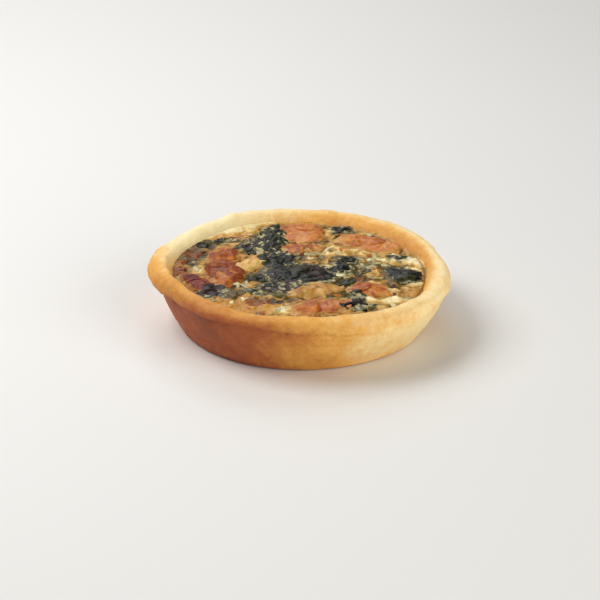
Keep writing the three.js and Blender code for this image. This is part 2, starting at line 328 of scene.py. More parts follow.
@dataclass
class Form:
    """A mesh while it is being shaped: places in millimetres, faces, and masks for its finish."""

    points: Array
    faces: Faces
    masks: dict[str, Array] = field(default_factory=dict)

    def normals(self) -> Array:
        """The directions out of the surface.

        Returns:
            A direction of length 1 for each point.
        """
        mesh = self.mesh("normals", 1)
        found = np.empty(3 * len(self.points), np.float32)
        mesh.vertex_normals.foreach_get("vector", found)
        bpy.data.meshes.remove(mesh)
        return found.reshape(-1, 3).astype(float)

    def push(self, amount: Array) -> None:
        """Moves every point out of the surface by its own amount, in millimetres."""
        self.points = self.points + self.normals() * amount[:, None]

    def mesh(self, name: str, scale: float) -> bpy.types.Mesh:
        """The form as a mesh.

        Args:
            name: the mesh's name.
            scale: how many of the mesh's units a millimetre is.

        Returns:
            A smooth-shaded mesh.
        """
        mesh = bpy.data.meshes.new(name)
        mesh.from_pydata((self.points * scale).tolist(), [], self.faces)
        mesh.shade_smooth()
        return mesh

    def piece(
        self, name: str, material: bpy.types.Material, slot: Slot, lay: Array | None = None
    ) -> bpy.types.Object:
        """The form as a finished piece of the quiche, riding on its body.

        Args:
            name: the piece's name.
            material: its finish.
            slot: the record's slot that the finish stands for; it is not used.
            lay: each point in the piece's own directions, which its grain follows.

        Returns:
            The piece's object.
        """
        mesh = self.mesh(name, MM)
        mesh.materials.append(material)
        for mask, values in self.masks.items():
            layer = mesh.attributes.new(mask, "FLOAT", "POINT")
            layer.data.foreach_set("value", values.astype(np.float32))
        own = self.points if lay is None else lay
        layer = mesh.attributes.new("lay", "FLOAT_VECTOR", "POINT")
        layer.data.foreach_set("vector", (own * MM).astype(np.float32).ravel())
        piece = bpy.data.objects.new(name, mesh)
        bpy.context.scene.collection.objects.link(piece)
        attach(piece, BODY)
        LOG.info("%s: %d faces, %s", name, len(self.faces), material.name)
        return piece


def joined(forms: Sequence[Form]) -> Form:
    """Several forms as one.

    Args:
        forms: the forms, which all have the same masks.

    Returns:
        One form with the points, faces and masks of all of them.
    """
    faces, start = [], 0
    for form in forms:
        faces += [[start + corner for corner in face] for face in form.faces]
        start += len(form.points)
    masks = {name: np.concatenate([f.masks[name] for f in forms]) for name in forms[0].masks}
    return Form(np.vstack([form.points for form in forms]), faces, masks)


def rounded_copy(node: bpy.types.Object, voxel: float, rounds: int) -> Form:
    """A CAD solid as an even mesh of small faces with rounded edges.

    Args:
        node: the CAD solid.
        voxel: how far apart its points are, in millimetres.
        rounds: how many times it is smoothed.

    Returns:
        A closed form.
    """
    copy = node.copy()
    copy.data = node.data.copy()
    bpy.context.scene.collection.objects.link(copy)
    remesh = copy.modifiers.new("even", "REMESH")
    remesh.mode = "VOXEL"
    remesh.voxel_size = voxel * MM
    smooth = copy.modifiers.new("rounded", "SMOOTH")
    smooth.iterations = rounds
    shown = copy.evaluated_get(bpy.context.evaluated_depsgraph_get())
    mesh = bpy.data.meshes.new_from_object(shown)
    points = np.empty(3 * len(mesh.vertices), np.float32)
    mesh.vertices.foreach_get("co", points)
    faces = [list(face.vertices) for face in mesh.polygons]
    bpy.data.objects.remove(copy)
    bpy.data.meshes.remove(mesh)
    return Form(points.reshape(-1, 3).astype(float) / MM, faces)


# ---------------- finishes


def linear(hexadecimal: str) -> tuple[float, float, float, float]:
    """An sRGB hex colour as the linear colour that a shader takes.

    Args:
        hexadecimal: six hex digits.

    Returns:
        Red, green, blue and alpha.
    """
    shares = [int(hexadecimal[at : at + 2], 16) / 255 for at in (0, 2, 4)]
    lit = [s / 12.92 if s <= 0.04045 else ((s + 0.055) / 1.055) ** 2.4 for s in shares]
    return (*lit, 1.0)


def add_node(
    tree: Tree,
    kind: str,
    settings: Mapping[str | int, Any] | None = None,
    links: Mapping[str | int, Socket] | None = None,
) -> bpy.types.Node:
    """Adds a node with its settings and links.

    Args:
        tree: the material's nodes.
        kind: the node's type.
        settings: its properties by name, the values of its inputs by name or number, and under
            "stops" the places and hex colours of a colour ramp.
        links: the outputs that its inputs are fed from, by name or number.

    Returns:
        The node.
    """
    node = tree.nodes.new(kind)
    for key, value in (settings or {}).items():
        if key == "stops":
            stops = node.color_ramp.elements
            while len(stops) < len(value):
                stops.new(1.0)
            for stop, (place, colour) in zip(stops, value):
                stop.position = place
                stop.color = linear(colour)
        elif isinstance(key, int) or key in node.inputs:
            node.inputs[key].default_value = value
        else:
            setattr(node, key, value)
    for key, source in (links or {}).items():
        tree.links.new(source, node.inputs[key])
    return node


# A shader's noise has three finer sizes on it, each 0.6 times as strong as the one before it, and
# nearly all of it lies between these two numbers.
FINER_SIZES = 3.0
FINER_STRENGTH = 0.6
NOISE_LOW, NOISE_HIGH = 0.3, 0.7


@dataclass(frozen=True)
class Mottle:
    """Noise that moves a finish's tone up and down: its size in millimetres and how far."""

    size: float
    amount: float
    stretch: tuple[float, float, float] = (1, 1, 1)


@dataclass(frozen=True)
class Stain:
    """A colour over the ones below it, where a mask says, with an edge broken up by noise."""

    mask: str
    colour: str
    strength: float = 1  # how much it hides of what is below
    size: float = 1.2  # of the noise's lumps, in millimetres
    ragged: float = 0.45  # how far the noise moves the edge
    soft: float = 0.2  # how soft the edge is


@dataclass(frozen=True)
class Grain:
    """Fine relief in the finish: the size of one bump and its height, in millimetres."""

    size: float
    height: float
    stretch: tuple[float, float, float] = (1, 1, 1)


@dataclass(frozen=True)
class Finish:
    """What a surface is made of and how it was cooked."""

    name: str
    tones: tuple[tuple[float, str], ...]  # its colours, from the darkest tone to the palest
    mottles: tuple[Mottle, ...]
    stains: tuple[Stain, ...]  # each over the ones before it
    grains: tuple[Grain, ...]
    roughness: tuple[float, float]  # where it is wettest, and where it is driest
    sheen_patch: float  # how far apart the wetter patches are, in millimetres
    ior: float
    subsurface: float  # the share of the light that passes under the surface
    depth: float  # how deep that light goes, in millimetres
    glow: tuple[float, float, float]  # and how far its red, green and blue go beside that
    coat: float = 0  # the wet film over it
    coat_roughness: float = 0.2
    gloss: float = 0.5

    def material(self) -> bpy.types.Material:
        """Makes the finish.

        Returns:
            A material whose colour follows the piece's tone and stain masks. Every piece with
            the finish shares it.
        """
        if self.name in bpy.data.materials:
            return bpy.data.materials[self.name]
        material = bpy.data.materials.new(self.name)
        material.use_nodes = True
        tree = material.node_tree
        tree.nodes.clear()
        lay = add_node(tree, "ShaderNodeAttribute", {"attribute_name": "lay"}).outputs["Vector"]
        shader = add_node(
            tree,
            "ShaderNodeBsdfPrincipled",
            {
                "IOR": self.ior,
                "Specular IOR Level": self.gloss,
                "Subsurface Weight": self.subsurface,
                "Subsurface Radius": self.glow,
                "Subsurface Scale": self.depth * MM,
                "Coat Weight": self.coat,
                "Coat Roughness": self.coat_roughness,
            },
            {
                "Base Color": self._colour(tree, lay),
                "Roughness": self._roughness(tree, lay),
                "Normal": self._relief(tree, lay),
            },
        )
        add_node(tree, "ShaderNodeOutputMaterial", {}, {"Surface": shader.outputs["BSDF"]})
        return material

    @staticmethod
    def _pattern(
        tree: Tree, lay: Socket, size: float, stretch: tuple[float, float, float] = (1, 1, 1)
    ) -> Socket:
        """Noise of a real size along the piece's own directions.

        Args:
            tree: the material's nodes.
            lay: the piece's own directions.
            size: how far apart the noise's lumps are, in millimetres.
            stretch: how many times longer they are along each direction.

        Returns:
            An output from 0 to 1.
        """
        scale = {"operation": "MULTIPLY", 1: [1 / (size * MM * longer) for longer in stretch]}
        place = add_node(tree, "ShaderNodeVectorMath", scale, {0: lay}).outputs[0]
        detail = {"Scale": 1.0, "Detail": FINER_SIZES, "Roughness": FINER_STRENGTH}
        return add_node(tree, "ShaderNodeTexNoise", detail, {"Vector": place}).outputs[0]

    def _colour(self, tree: Tree, lay: Socket) -> Socket:
        """The finish's colour: its tones, and then each stain over them.

        Args:
            tree: the material's nodes.
            lay: the piece's own directions.

        Returns:
            The colour's output.
        """
        tone = add_node(tree, "ShaderNodeAttribute", {"attribute_name": "tone"}).outputs["Fac"]
        for mottle in self.mottles:
            wave = self._pattern(tree, lay, mottle.size, mottle.stretch)
            spread = {"operation": "MULTIPLY_ADD", 1: 2 * mottle.amount}
            tone = add_node(tree, "ShaderNodeMath", spread, {0: wave, 2: tone}).outputs[0]
        drift = sum(mottle.amount for mottle in self.mottles)
        level = add_node(tree, "ShaderNodeMath", {"operation": "SUBTRACT", 1: drift}, {0: tone})
        ramp = add_node(tree, "ShaderNodeValToRGB", {"stops": self.tones}, {0: level.outputs[0]})
        colour = ramp.outputs["Color"]
        for stain in self.stains:
            mask = add_node(tree, "ShaderNodeAttribute", {"attribute_name": stain.mask})
            wave = self._pattern(tree, lay, stain.size)
            spread = {"operation": "MULTIPLY_ADD", 1: 2 * stain.ragged}
            broken = add_node(tree, "ShaderNodeMath", spread, {0: wave, 2: mask.outputs["Fac"]})
            edge = {
                "interpolation_type": "SMOOTHSTEP",
                "From Min": 0.5 - stain.soft + stain.ragged,
                "From Max": 0.5 + stain.soft + stain.ragged,
                "To Max": stain.strength,
            }
            share = add_node(tree, "ShaderNodeMapRange", edge, {"Value": broken.outputs[0]})
            over = {"data_type": "RGBA", 7: linear(stain.colour)}
            links = {0: share.outputs[0], 6: colour}
            colour = add_node(tree, "ShaderNodeMix", over, links).outputs[2]
        return colour

    def _roughness(self, tree: Tree, lay: Socket) -> Socket:
        """How matt the finish is, from patch to patch.

        Args:
            tree: the material's nodes.
            lay: the piece's own directions.

        Returns:
            The roughness's output.
        """
        low, high = self.roughness
        spread = {"From Min": NOISE_LOW, "From Max": NOISE_HIGH, "To Min": low, "To Max": high}
        patches = self._pattern(tree, lay, self.sheen_patch)
        return add_node(tree, "ShaderNodeMapRange", spread, {"Value": patches}).outputs[0]

    def _relief(self, tree: Tree, lay: Socket) -> Socket:
        """The finish's fine relief, each grain on the one before it.

        Args:
            tree: the material's nodes.
            lay: the piece's own directions.

        Returns:
            The normal's output.
        """
        normal = None
        for grain in self.grains:
            height = self._pattern(tree, lay, grain.size, grain.stretch)
            links = {"Height": height} if normal is None else {"Height": height, "Normal": normal}
            bump = add_node(tree, "ShaderNodeBump", {"Distance": grain.height * MM}, links)
            normal = bump.outputs[0]
        return normal


# Shortcrust pastry, rolled, thumbed into a tin and baked. Its fat and flour leave it matt and
# slightly sandy; it is cream where it is thick and high, and golden to brown where the tin and
# the hot air reached it. A little light passes under its surface.
SHORTCRUST = Finish(
    name="shortcrust pastry, baked golden",
    tones=(
        (0.0, "fbebbe"),
        (0.22, "f5d698"),
        (0.42, "e6ab54"),
        (0.58, "cf8d3e"),
        (0.75, "b26231"),
        (0.88, "a2502b"),
        (1.0, "7c3f20"),
    ),
    mottles=(Mottle(9, 0.12), Mottle(2.4, 0.12), Mottle(0.7, 0.08)),
    stains=(
        # Painted shade: a darker brown in the crease under the lip, in the cracks and in the pock.
        Stain("scorch", "6e3a1c", 0.75, 1.6, 0.5),
        Stain("cream", "eedaa2", 0.8, 3, 0.3, 0.3),
        Stain("crumb", "f1dcaa", 0.6, 0.6, 0.4),
    ),
    # Flour grit is about 0.2 mm across; it is drawn coarser, at 0.5 mm, so that it shows.
    grains=(Grain(1.7, 0.22), Grain(0.5, 0.1)),
    roughness=(0.5, 0.72),
    sheen_patch=4,
    ior=1.47,
    subsurface=0.12,
    depth=0.8,
    glow=(1.0, 0.55, 0.25),
    gloss=0.3,
)

# Egg and cream custard with a little cheese, baked until it set. It is lumpy where it curdled,
# wet on top, and lets light in a millimetre or two, so that its cream parts glow.
EGG_CUSTARD = Finish(
    name="egg custard, baked and curdled",
    tones=(
        (0.0, "2a1f0a"),
        (0.16, "5c4418"),
        (0.36, "98712c"),
        (0.56, "c4984a"),
        (0.76, "e2c07a"),
        (1.0, "f6e8b6"),
    ),
    mottles=(Mottle(7, 0.3), Mottle(2.6, 0.3), Mottle(0.9, 0.1)),
    stains=(
        Stain("gold", "c68c38", 0.75, 4.0, 0.5, 0.25),
        Stain("herb", "3e3a12", 0.9, 2.6, 0.6, 0.2),
        Stain("toasted", "7e4012", 0.85, 3.0, 0.6, 0.22),
        Stain("blush", "ac602e", 0.6, 3.0, 0.5, 0.25),
        Stain("curd", "e6dca8", 0.9, 2.0, 0.55, 0.15),
        # Painted shade: a darker brown in the gap at the right where the custard has pulled away from the
        # pastry.
        Stain("shrunk", "7c5a2c", 0.7, 0.8, 0.3, 0.2),
    ),
    grains=(Grain(1.6, 0.3), Grain(0.6, 0.1)),
    roughness=(0.18, 0.5),
    sheen_patch=2.0,
    ior=1.42,
    subsurface=0.2,
    depth=1.2,
    glow=(1.0, 0.65, 0.3),
    coat=0.14,
    coat_roughness=0.07,
    gloss=0.17,
)

# Cooked salmon, flaked by hand. Its muscle runs in plates with paler fat between them; it is
# moist and oily, pink-orange inside and browner where the oven dried it.
COOKED_SALMON = Finish(
    name="salmon, baked pink",
    tones=((0.0, "5a2208"), (0.3, "9a4c1a"), (0.55, "c2742e"), (0.8, "d8984a"), (1.0, "eac07a")),
    mottles=(Mottle(5, 0.4), Mottle(1.7, 0.32, (2, 1, 1)), Mottle(0.55, 0.14, (4, 1, 1))),
    stains=(
        Stain("pink", "cc8254", 0.65, 4.0, 0.5, 0.3),
        Stain("browned", "702a12", 0.8, 3.0, 0.5, 0.28),
        # Painted shade: dark red-brown in the grooves where each plate of muscle drops to the next.
        Stain("seam", "5c2010", 0.5, 1.2, 0.3, 0.3),
        Stain("film", "c29c56", 0.8, 1.5, 0.6, 0.22),
    ),
    # Its fibres are 0.1 to 0.2 mm across; they are drawn coarser, at 0.6 mm, so that they show.
    grains=(Grain(1.6, 0.22, (2, 1, 1)), Grain(0.6, 0.08, (4, 1, 1))),
    roughness=(0.2, 0.5),
    sheen_patch=2.2,
    ior=1.42,
    subsurface=0.2,
    depth=1.2,
    glow=(1.0, 0.4, 0.2),
    coat=0.1,
    coat_roughness=0.08,
    gloss=0.12,
)
# The same, dried dark red-brown where it stood nearest the heat.
BROWNED_SALMON = replace(
    COOKED_SALMON,
    name="salmon, baked dark",
    tones=((0.0, "3c120c"), (0.4, "6a2216"), (0.7, "934026"), (1.0, "b87650")),
)
# And the same with custard soaked into it, so that it is pale and buff.
PALE_SALMON = replace(
    COOKED_SALMON,
    name="salmon, pale under custard",
    tones=((0.0, "84501e"), (0.4, "b8843c"), (0.7, "d6ad62"), (1.0, "ecd394")),
)

# Spinach leaf, wilted and baked. It is nearly black-green, purple-brown where it dried, and
# wet, so that every fold catches a small cool highlight.
WILTED_SPINACH = Finish(
    name="spinach, wilted and wet",
    tones=((0.0, "080908"), (0.35, "12140c"), (0.6, "262817"), (0.8, "423f22"), (1.0, "6a6236")),
    mottles=(Mottle(6, 0.3), Mottle(2.0, 0.25), Mottle(0.6, 0.08)),
    stains=(
        Stain("dried", "301a18", 0.85, 3.5, 0.45, 0.25),
        Stain("film", "bab080", 0.85, 1.5, 0.6, 0.22),
    ),
    grains=(Grain(2.4, 0.3), Grain(0.8, 0.08)),
    roughness=(0.2, 0.5),
    sheen_patch=2.0,
    ior=1.4,
    subsurface=0.0,
    depth=0.5,
    glow=(0.5, 1.0, 0.3),
    coat=0.1,
    coat_roughness=0.1,
    gloss=0.16,
)

# Strips of leek and onion, stewed soft. They are glassy, from cream to olive, and shiny.
STEWED_LEEK = Finish(
    name="leek, stewed soft",
    tones=((0.0, "3a381a"), (0.3, "706632"), (0.6, "a8945a"), (1.0, "d8ca96")),
    mottles=(Mottle(2.5, 0.2, (3, 1, 1)), Mottle(0.6, 0.2, (6, 1, 1))),
    stains=(Stain("film", "d6c592", 0.7, 1.2, 0.5, 0.2),),
    grains=(Grain(0.5, 0.1, (6, 1, 1)),),
    roughness=(0.2, 0.4),
    sheen_patch=1.5,
    ior=1.42,
    subsurface=0.3,
    depth=1.2,
    glow=(1.0, 0.9, 0.5),
    coat=0.16,
    coat_roughness=0.1,
    gloss=0.3,
)

# Curds of egg and melted cheese that rose through the custard: off-white, greenish near the
# spinach, soft-edged and wet.
CUSTARD_CURD = Finish(
    name="custard curds, off-white",
    tones=((0.0, "867a44"), (0.4, "b2a266"), (0.7, "d4c48a"), (1.0, "eee2b2")),
    mottles=(Mottle(1.5, 0.25), Mottle(0.5, 0.15)),
    stains=(Stain("film", "c9a25c", 0.6, 1.2, 0.5, 0.2),),
    grains=(Grain(0.5, 0.12),),
    roughness=(0.22, 0.45),
    sheen_patch=1.0,
    ior=1.42,
    subsurface=0.35,
    depth=1.4,
    glow=(1.0, 0.8, 0.5),
    coat=0.35,
    coat_roughness=0.15,
)


# ---------------- pastry case


@dataclass(frozen=True)
class Browning:
    """How brown one ring of the case is baked, at every 30 degrees round the quiche."""

    station: float
    tones: tuple[float, ...]

    def at(self, degrees: Array) -> Array:
        """How brown it is at each angle round the quiche."""
        fine = resample_round(np.array(self.tones), 360)
        return np.interp(degrees % 360, np.arange(361), np.append(fine, fine[0]))


# The left front stood nearest the oven's wall, and the right front furthest from it. The angles
# start at the right and run by the back and the left to the front.
BROWNING = (
    Browning(Station.SOLE_EDGE, (0.48, 0.52, 0.6, 0.62, 0.62, 0.66, 0.74, 0.86, 0.88, 0.66, 0.42, 0.38)),
    Browning(2.5, (0.36, 0.44, 0.55, 0.6, 0.6, 0.64, 0.72, 0.86, 0.84, 0.57, 0.32, 0.26)),
    Browning(4.5, (0.3, 0.4, 0.5, 0.55, 0.55, 0.6, 0.7, 0.85, 0.84, 0.58, 0.27, 0.2)),
    Browning(Station.NECK, (0.32, 0.4, 0.5, 0.55, 0.5, 0.55, 0.64, 0.84, 0.88, 0.64, 0.32, 0.24)),
    Browning(7.5, (0.3, 0.38, 0.45, 0.45, 0.4, 0.42, 0.55, 0.78, 0.86, 0.58, 0.33, 0.24)),
    Browning(9.5, (0.26, 0.32, 0.38, 0.36, 0.3, 0.32, 0.5, 0.66, 0.77, 0.52, 0.33, 0.22)),
    Browning(12, (0.2, 0.28, 0.3, 0.28, 0.16, 0.18, 0.4, 0.56, 0.62, 0.47, 0.32, 0.21)),
    Browning(Station.CREST, (0.15, 0.2, 0.25, 0.22, 0.08, 0.1, 0.28, 0.52, 0.58, 0.46, 0.3, 0.19)),
    Browning(16, (0.44, 0.5, 0.46, 0.36, 0.12, 0.12, 0.28, 0.48, 0.5, 0.46, 0.34, 0.3)),
    Browning(Station.FILL_EDGE, (0.54, 0.57, 0.52, 0.42, 0.17, 0.18, 0.36, 0.52, 0.56, 0.52, 0.42, 0.44)),
    Browning(Station.FLOOR, (0.5,) * 12),
)


@dataclass(frozen=True)
class Dent:
    """A small mark in the pastry: its place and size in millimetres, and how deep it is."""

    x: float
    y: float
    z: float
    size: float
    depth: float

    def at(self, points: Array) -> Array:
        """How deep the mark is at each point."""
        away = np.linalg.norm(points - (self.x, self.y, self.z), axis=1)
        return self.depth * bell(away, 0, self.size)


# A pock in the right wall, painted darker inside as shade.
POCK = (Dent(39.5, -40.1, 18, 0.9, 0.55), Dent(39.9, -41.4, 17.2, 0.6, 0.3))
# The pock, a thumb's fold in the left of the lip and the swelling beside it, a crumb baked onto
# the crest and the hollow beside that, and the shallow marks of five fingers round the lip.
DENTS = (
    *POCK,
    Dent(-47.5, -17.7, 19, 2.6, 0.9),
    Dent(-53, -21, 20, 3.2, -0.5),
    Dent(-27, 48.3, 25, 1.6, -0.7),
    Dent(-33, 44, 24.6, 4, 0.5),
    Dent(56, 14, 22, 5, 0.5),
    Dent(50, -28, 21, 6, 0.45),
    Dent(-20, -54, 24, 7, 0.4),
    Dent(10, -57, 22, 6, 0.45),
    Dent(-56, 8, 24, 6, 0.4),
)

# Round the lip: where it was held in over the neck, smeared down onto the wall, and came apart
# in flaky layers; where the crease under it is painted darker, as shade; and where the inside of the rim
# is pale.
HELD_IN = (Hill(205, 40, 1), Hill(248, 40, 0.4))
SMEARED = (Hill(315, 48, 1), Hill(262, 34, 0.5))
FLAKY = (Hill(284, 30, 1),)
SHADED_CREASE = (Hill(235, 60, 1),)
PALE_RIM = (Hill(142, 30, 1),)


@dataclass
class PastryCase:
    """The shortcrust case: a sloping side wall, a thumbed lip over it, and a floor.

    Its sizes are in millimetres.
    """

    node: str = "pastry_case"
    columns: int = 720
    seen_step: float = 0.42  # between rows of points where the case shows
    hidden_step: float = 3.0  # and where it doesn't
    fine_step: float = 0.1  # of the curve that the rows are placed along
    softness: float = 0.55  # how far a corner of the CAD solid is rounded
    seen_from: float = 0.4  # the stations between which it shows
    seen_to: float = 18.6
    pits: int = 110
    blisters: int = 60
    cracks: int = 16
    crack_stride: float = 0.55  # from one turn of a crack to the next
    crack_depth: float = 0.26
    crack_width: float = 0.36
    seed: int = 5
    middle: Array = field(init=False)
    sections: Array = field(init=False)
    noise: Noise = field(init=False)
    draw: Draw = field(init=False)
    degrees: Array = field(init=False)  # the angle of each column of points
    fill_height: float = field(init=False)  # where the custard meets the pastry, on average
    inner: Array = field(init=False)  # and how far out it does, at each column
    station: Array = field(init=False)  # each point's place along the cross-section
    angle: Array = field(init=False)  # and round the case
    crack: Array = field(init=False)  # how deep in a crack it lies, from 0 to 1

    def __post_init__(self) -> None:
        """Reads the CAD solid's cross-sections."""
        self.middle, self.sections = self._read_sections()
        self.noise = Noise(self.seed)
        self.draw = np.random.default_rng(self.seed)
        self.degrees = np.arange(self.columns) * 360 / self.columns
        inner = self.sections[:, Station.FILL_EDGE]
        self.fill_height = float(inner[:, 1].mean())
        self.inner = resample_round(inner[:, 0], self.columns)

    def _read_sections(self) -> tuple[Array, Array]:
        """The CAD solid's cross-sections, one for each of its own angles.

        Returns:
            The middle of the case, and the sections' radii and heights as an array with the
            angles along its first axis and the stations along its second.
        """
        mesh = frame["nodes"][self.node].data
        corners = np.array([v.co for v in mesh.vertices]) / MM
        points, same = np.unique(np.round(corners, 3), axis=0, return_inverse=True)
        same = same.ravel()
        sole = points[points[:, 2] < FLAT]
        middle = sole[np.argmin(np.hypot(sole[:, 0], sole[:, 1]))][:2]
        away = points[:, :2] - middle
        radius = np.hypot(away[:, 0], away[:, 1])
        degrees = np.round(np.degrees(np.arctan2(away[:, 1], away[:, 0])) % 360, 1) % 360
        rim = radius > 1
        turns = np.unique(degrees[rim])
        neighbours: dict[int, set[int]] = {}
        for face in mesh.polygons:
            ring = [int(same[corner]) for corner in face.vertices]
            for one, other in itertools.permutations(ring, 2):
                if rim[one] and rim[other] and degrees[one] == degrees[other]:
                    neighbours.setdefault(one, set()).add(other)
        sections = []
        for turn in turns:
            ends = [p for p in np.flatnonzero(rim & (degrees == turn)) if len(neighbours[p]) == 1]
            walk = [min(ends, key=lambda p: points[p, 2])]
            while len(walk) == 1 or len(neighbours[walk[-1]]) > 1:
                walk.append(next(p for p in neighbours[walk[-1]] if p not in walk[-2:]))
            sections.append(np.column_stack([radius[walk], points[walk, 2]]))
        return middle, np.array(sections)

    def polar(self, x: Array, y: Array) -> tuple[Array, Array]:
        """Distances from the middle of the case, and angles round it from 0 to 360."""
        x, y = x - self.middle[0], y - self.middle[1]
        return np.hypot(x, y), np.degrees(np.arctan2(y, x)) % 360

    def inner_radius(self, degrees: Array) -> Array:
        """The radius at which the custard meets the pastry, at each angle."""
        turns = np.append(self.degrees, 360)
        return np.interp(degrees % 360, turns, np.append(self.inner, self.inner[0]))

    def _rows(self) -> tuple[Array, Array]:
        """Where the case's rows of points lie along its cross-section.

        Returns:
            Each row's place counted in stations, and its weights on the CAD stations.
        """
        mean = self.sections.mean(axis=0)
        lengths = np.hypot(*np.diff(mean, axis=0).T)
        along = np.append(0, np.cumsum(lengths))
        fine = np.arange(0, along[-1], self.fine_step)
        station = np.interp(fine, along, np.arange(len(along)))
        seen = (station > self.seen_from) & (station < self.seen_to)
        share = self.fine_step / np.where(seen, self.seen_step, self.hidden_step)
        counted = np.append(0, np.cumsum(share)[:-1])
        rows = np.interp(np.arange(0, np.sum(share), 1.0), counted, fine)
        rows = np.append(rows, along[-1])
        plain = np.array([np.interp(fine, along, one) for one in np.eye(len(along))]).T
        weights = bell(rows[:, None], fine, self.softness)
        weights[0] = fine == fine[0]
        weights[-1] = fine == fine[-1]
        weights = (weights / weights.sum(axis=1, keepdims=True)) @ plain
        return np.interp(rows, along, np.arange(len(along))), weights

    def form(self) -> Form:
        """The case's shape, with the masks for its finish.

        Returns:
            A closed form.
        """
        station, weights = self._rows()
        rounded = resample_round(self.sections, self.columns)
        rings = np.einsum("rs,csk->crk", weights, rounded)
        turn = np.radians(self.degrees)[:, None]
        x = self.middle[0] + rings[..., 0] * np.cos(turn)
        y = self.middle[1] + rings[..., 0] * np.sin(turn)
        points = np.stack([x, y, np.maximum(rings[..., 1], 0)], axis=-1).reshape(-1, 3)
        rows = len(station)
        here = np.arange(self.columns)[:, None] * rows + np.arange(rows - 1)
        there = np.roll(here, -1, axis=0)
        quads = np.stack([here, there, there + 1, here + 1], axis=-1).reshape(-1, 4).tolist()
        under, over = len(points), len(points) + 1
        first = np.arange(self.columns) * rows
        caps = [[under, b, a] for a, b in zip(first.tolist(), np.roll(first, -1).tolist())]
        first = first + rows - 1
        caps += [[over, a, b] for a, b in zip(first.tolist(), np.roll(first, -1).tolist())]
        ends = [[*self.middle, 0], [*self.middle, float(rings[:, -1, 1].mean())]]
        form = Form(np.vstack([points, ends]), quads + caps)
        self.station = np.append(np.tile(station, self.columns), [0, Station.FLOOR])
        self.angle = np.append(np.repeat(self.degrees, rows), [0, 0])
        self._knead(form)
        self._mark(form)
        return form

    def _knead(self, form: Form) -> None:
        """Gives the smooth case the unevenness of pastry pressed into a tin by hand.

        The lip is the most uneven, and it is held in over the neck at the left front and smeared
        down onto the wall at the right front. Flaky layers open at the front, and the underside
        and the floor stay smooth.

        Args:
            form: the smooth case, which is changed.
        """
        p, noise, station = form.points, self.noise, self.station
        free = smooth_step(station, 0.6, 2.2) * smooth_step(station, Station.FLOOR, 18.8)
        lip = smooth_step(station, 5.8, 7.5) * free
        wall = smooth_step(station, 7.5, 6) * free
        under_lip = bell(station - Station.NECK, 0.4, 0.9)
        held = total_hill(HELD_IN, self.angle)
        smeared = total_hill(SMEARED, self.angle) * bell(station, 5.6, 1.7)
        form.push(
            0.65 * lip * noise.rough(p, 14)  # the thumb's broad marks
            + 0.3 * lip * noise.rough(p + 50, 5.5)  # and its narrower ones
            + 0.12 * wall * noise.rough(p, 14, 2)  # the wall's slow waves
            - 0.45 * under_lip * held * (0.75 + 0.5 * noise.at(p, 3.5))  # the neck, held in
            + 0.6 * smeared
        )
        flaky = total_hill(FLAKY, self.angle) * bell(station, 7.5, 3.2) * free
        form.push(
            0.09 * free * noise.rough(p, 1.9)  # the lumps in the dough
            + 0.05 * free * noise.at(p, 0.95)  # and its grit
            + 0.4 * flaky * (noise.ridged(p, 4.5, 3, (1.3, 1.3, 0.5)) - 0.4)  # thick layers
            + 0.26 * flaky * (noise.ridged(p + 8, 2.0, 2, (1.3, 1.3, 0.6)) - 0.4)  # thin ones
            - sum(dent.at(p) for dent in DENTS) * free
            - self._pitting(p) * free
            + self._blistering(p) * lip
            - self._cracking(p) * free
        )

    def _spots(self, points: Array, count: int, low: float, high: float) -> list[Array]:
        """Random places on the part of the case that shows.

        Args:
            points: the case's points.
            count: how many places.
            low: the lowest station that they lie at.
            high: the highest.

        Returns:
            The places.
        """
        choice = np.flatnonzero((self.station > low) & (self.station < high))
        return [points[k] for k in self.draw.choice(choice, count)]

    def _pitting(self, points: Array) -> Array:
        """The small holes where air came out of the dough.

        Args:
            points: the case's points.

        Returns:
            How deep the holes are at each point.
        """
        depth = np.zeros(len(points))
        for spot in self._spots(points, self.pits, 1.5, 17):
            size = self.draw.uniform(0.3, 0.75)
            away = np.linalg.norm(points - spot, axis=1) / size
            depth += self.draw.uniform(0.12, 0.34) * np.exp(-(away**3))
        return depth

    def _blistering(self, points: Array) -> Array:
        """The small bubbles under the skin of the lip.

        Args:
            points: the case's points.

        Returns:
            How high the bubbles stand at each point.
        """
        height = np.zeros(len(points))
        for spot in self._spots(points, self.blisters, 7, 17):
            size = self.draw.uniform(0.9, 2.2)
            away = np.linalg.norm(points - spot, axis=1)
            height = np.maximum(height, self.draw.uniform(0.08, 0.2) * bell(away, 0, size))
        return height

    def _cracking(self, points: Array) -> Array:
        """The fine cracks that opened as the pastry dried.

        Args:
            points: the case's points.

        Returns:
            How deep the cracks are at each point.
        """
        depth = np.zeros(len(points))
        for start in self._spots(points, self.cracks, 7, 16):
            heading = self.draw.normal(size=3)
            place = start.copy()
            for _ in range(self.draw.integers(5, 12)):
                heading += 0.7 * self.draw.normal(size=3)
                place = place + self.crack_stride * heading / np.linalg.norm(heading)
                place = points[np.argmin(np.linalg.norm(points - place, axis=1))]
                away = np.linalg.norm(points - place, axis=1)
                groove = self.crack_depth * bell(away, 0, self.crack_width)
                depth = np.maximum(depth, groove)
        self.crack = depth / self.crack_depth
        return depth

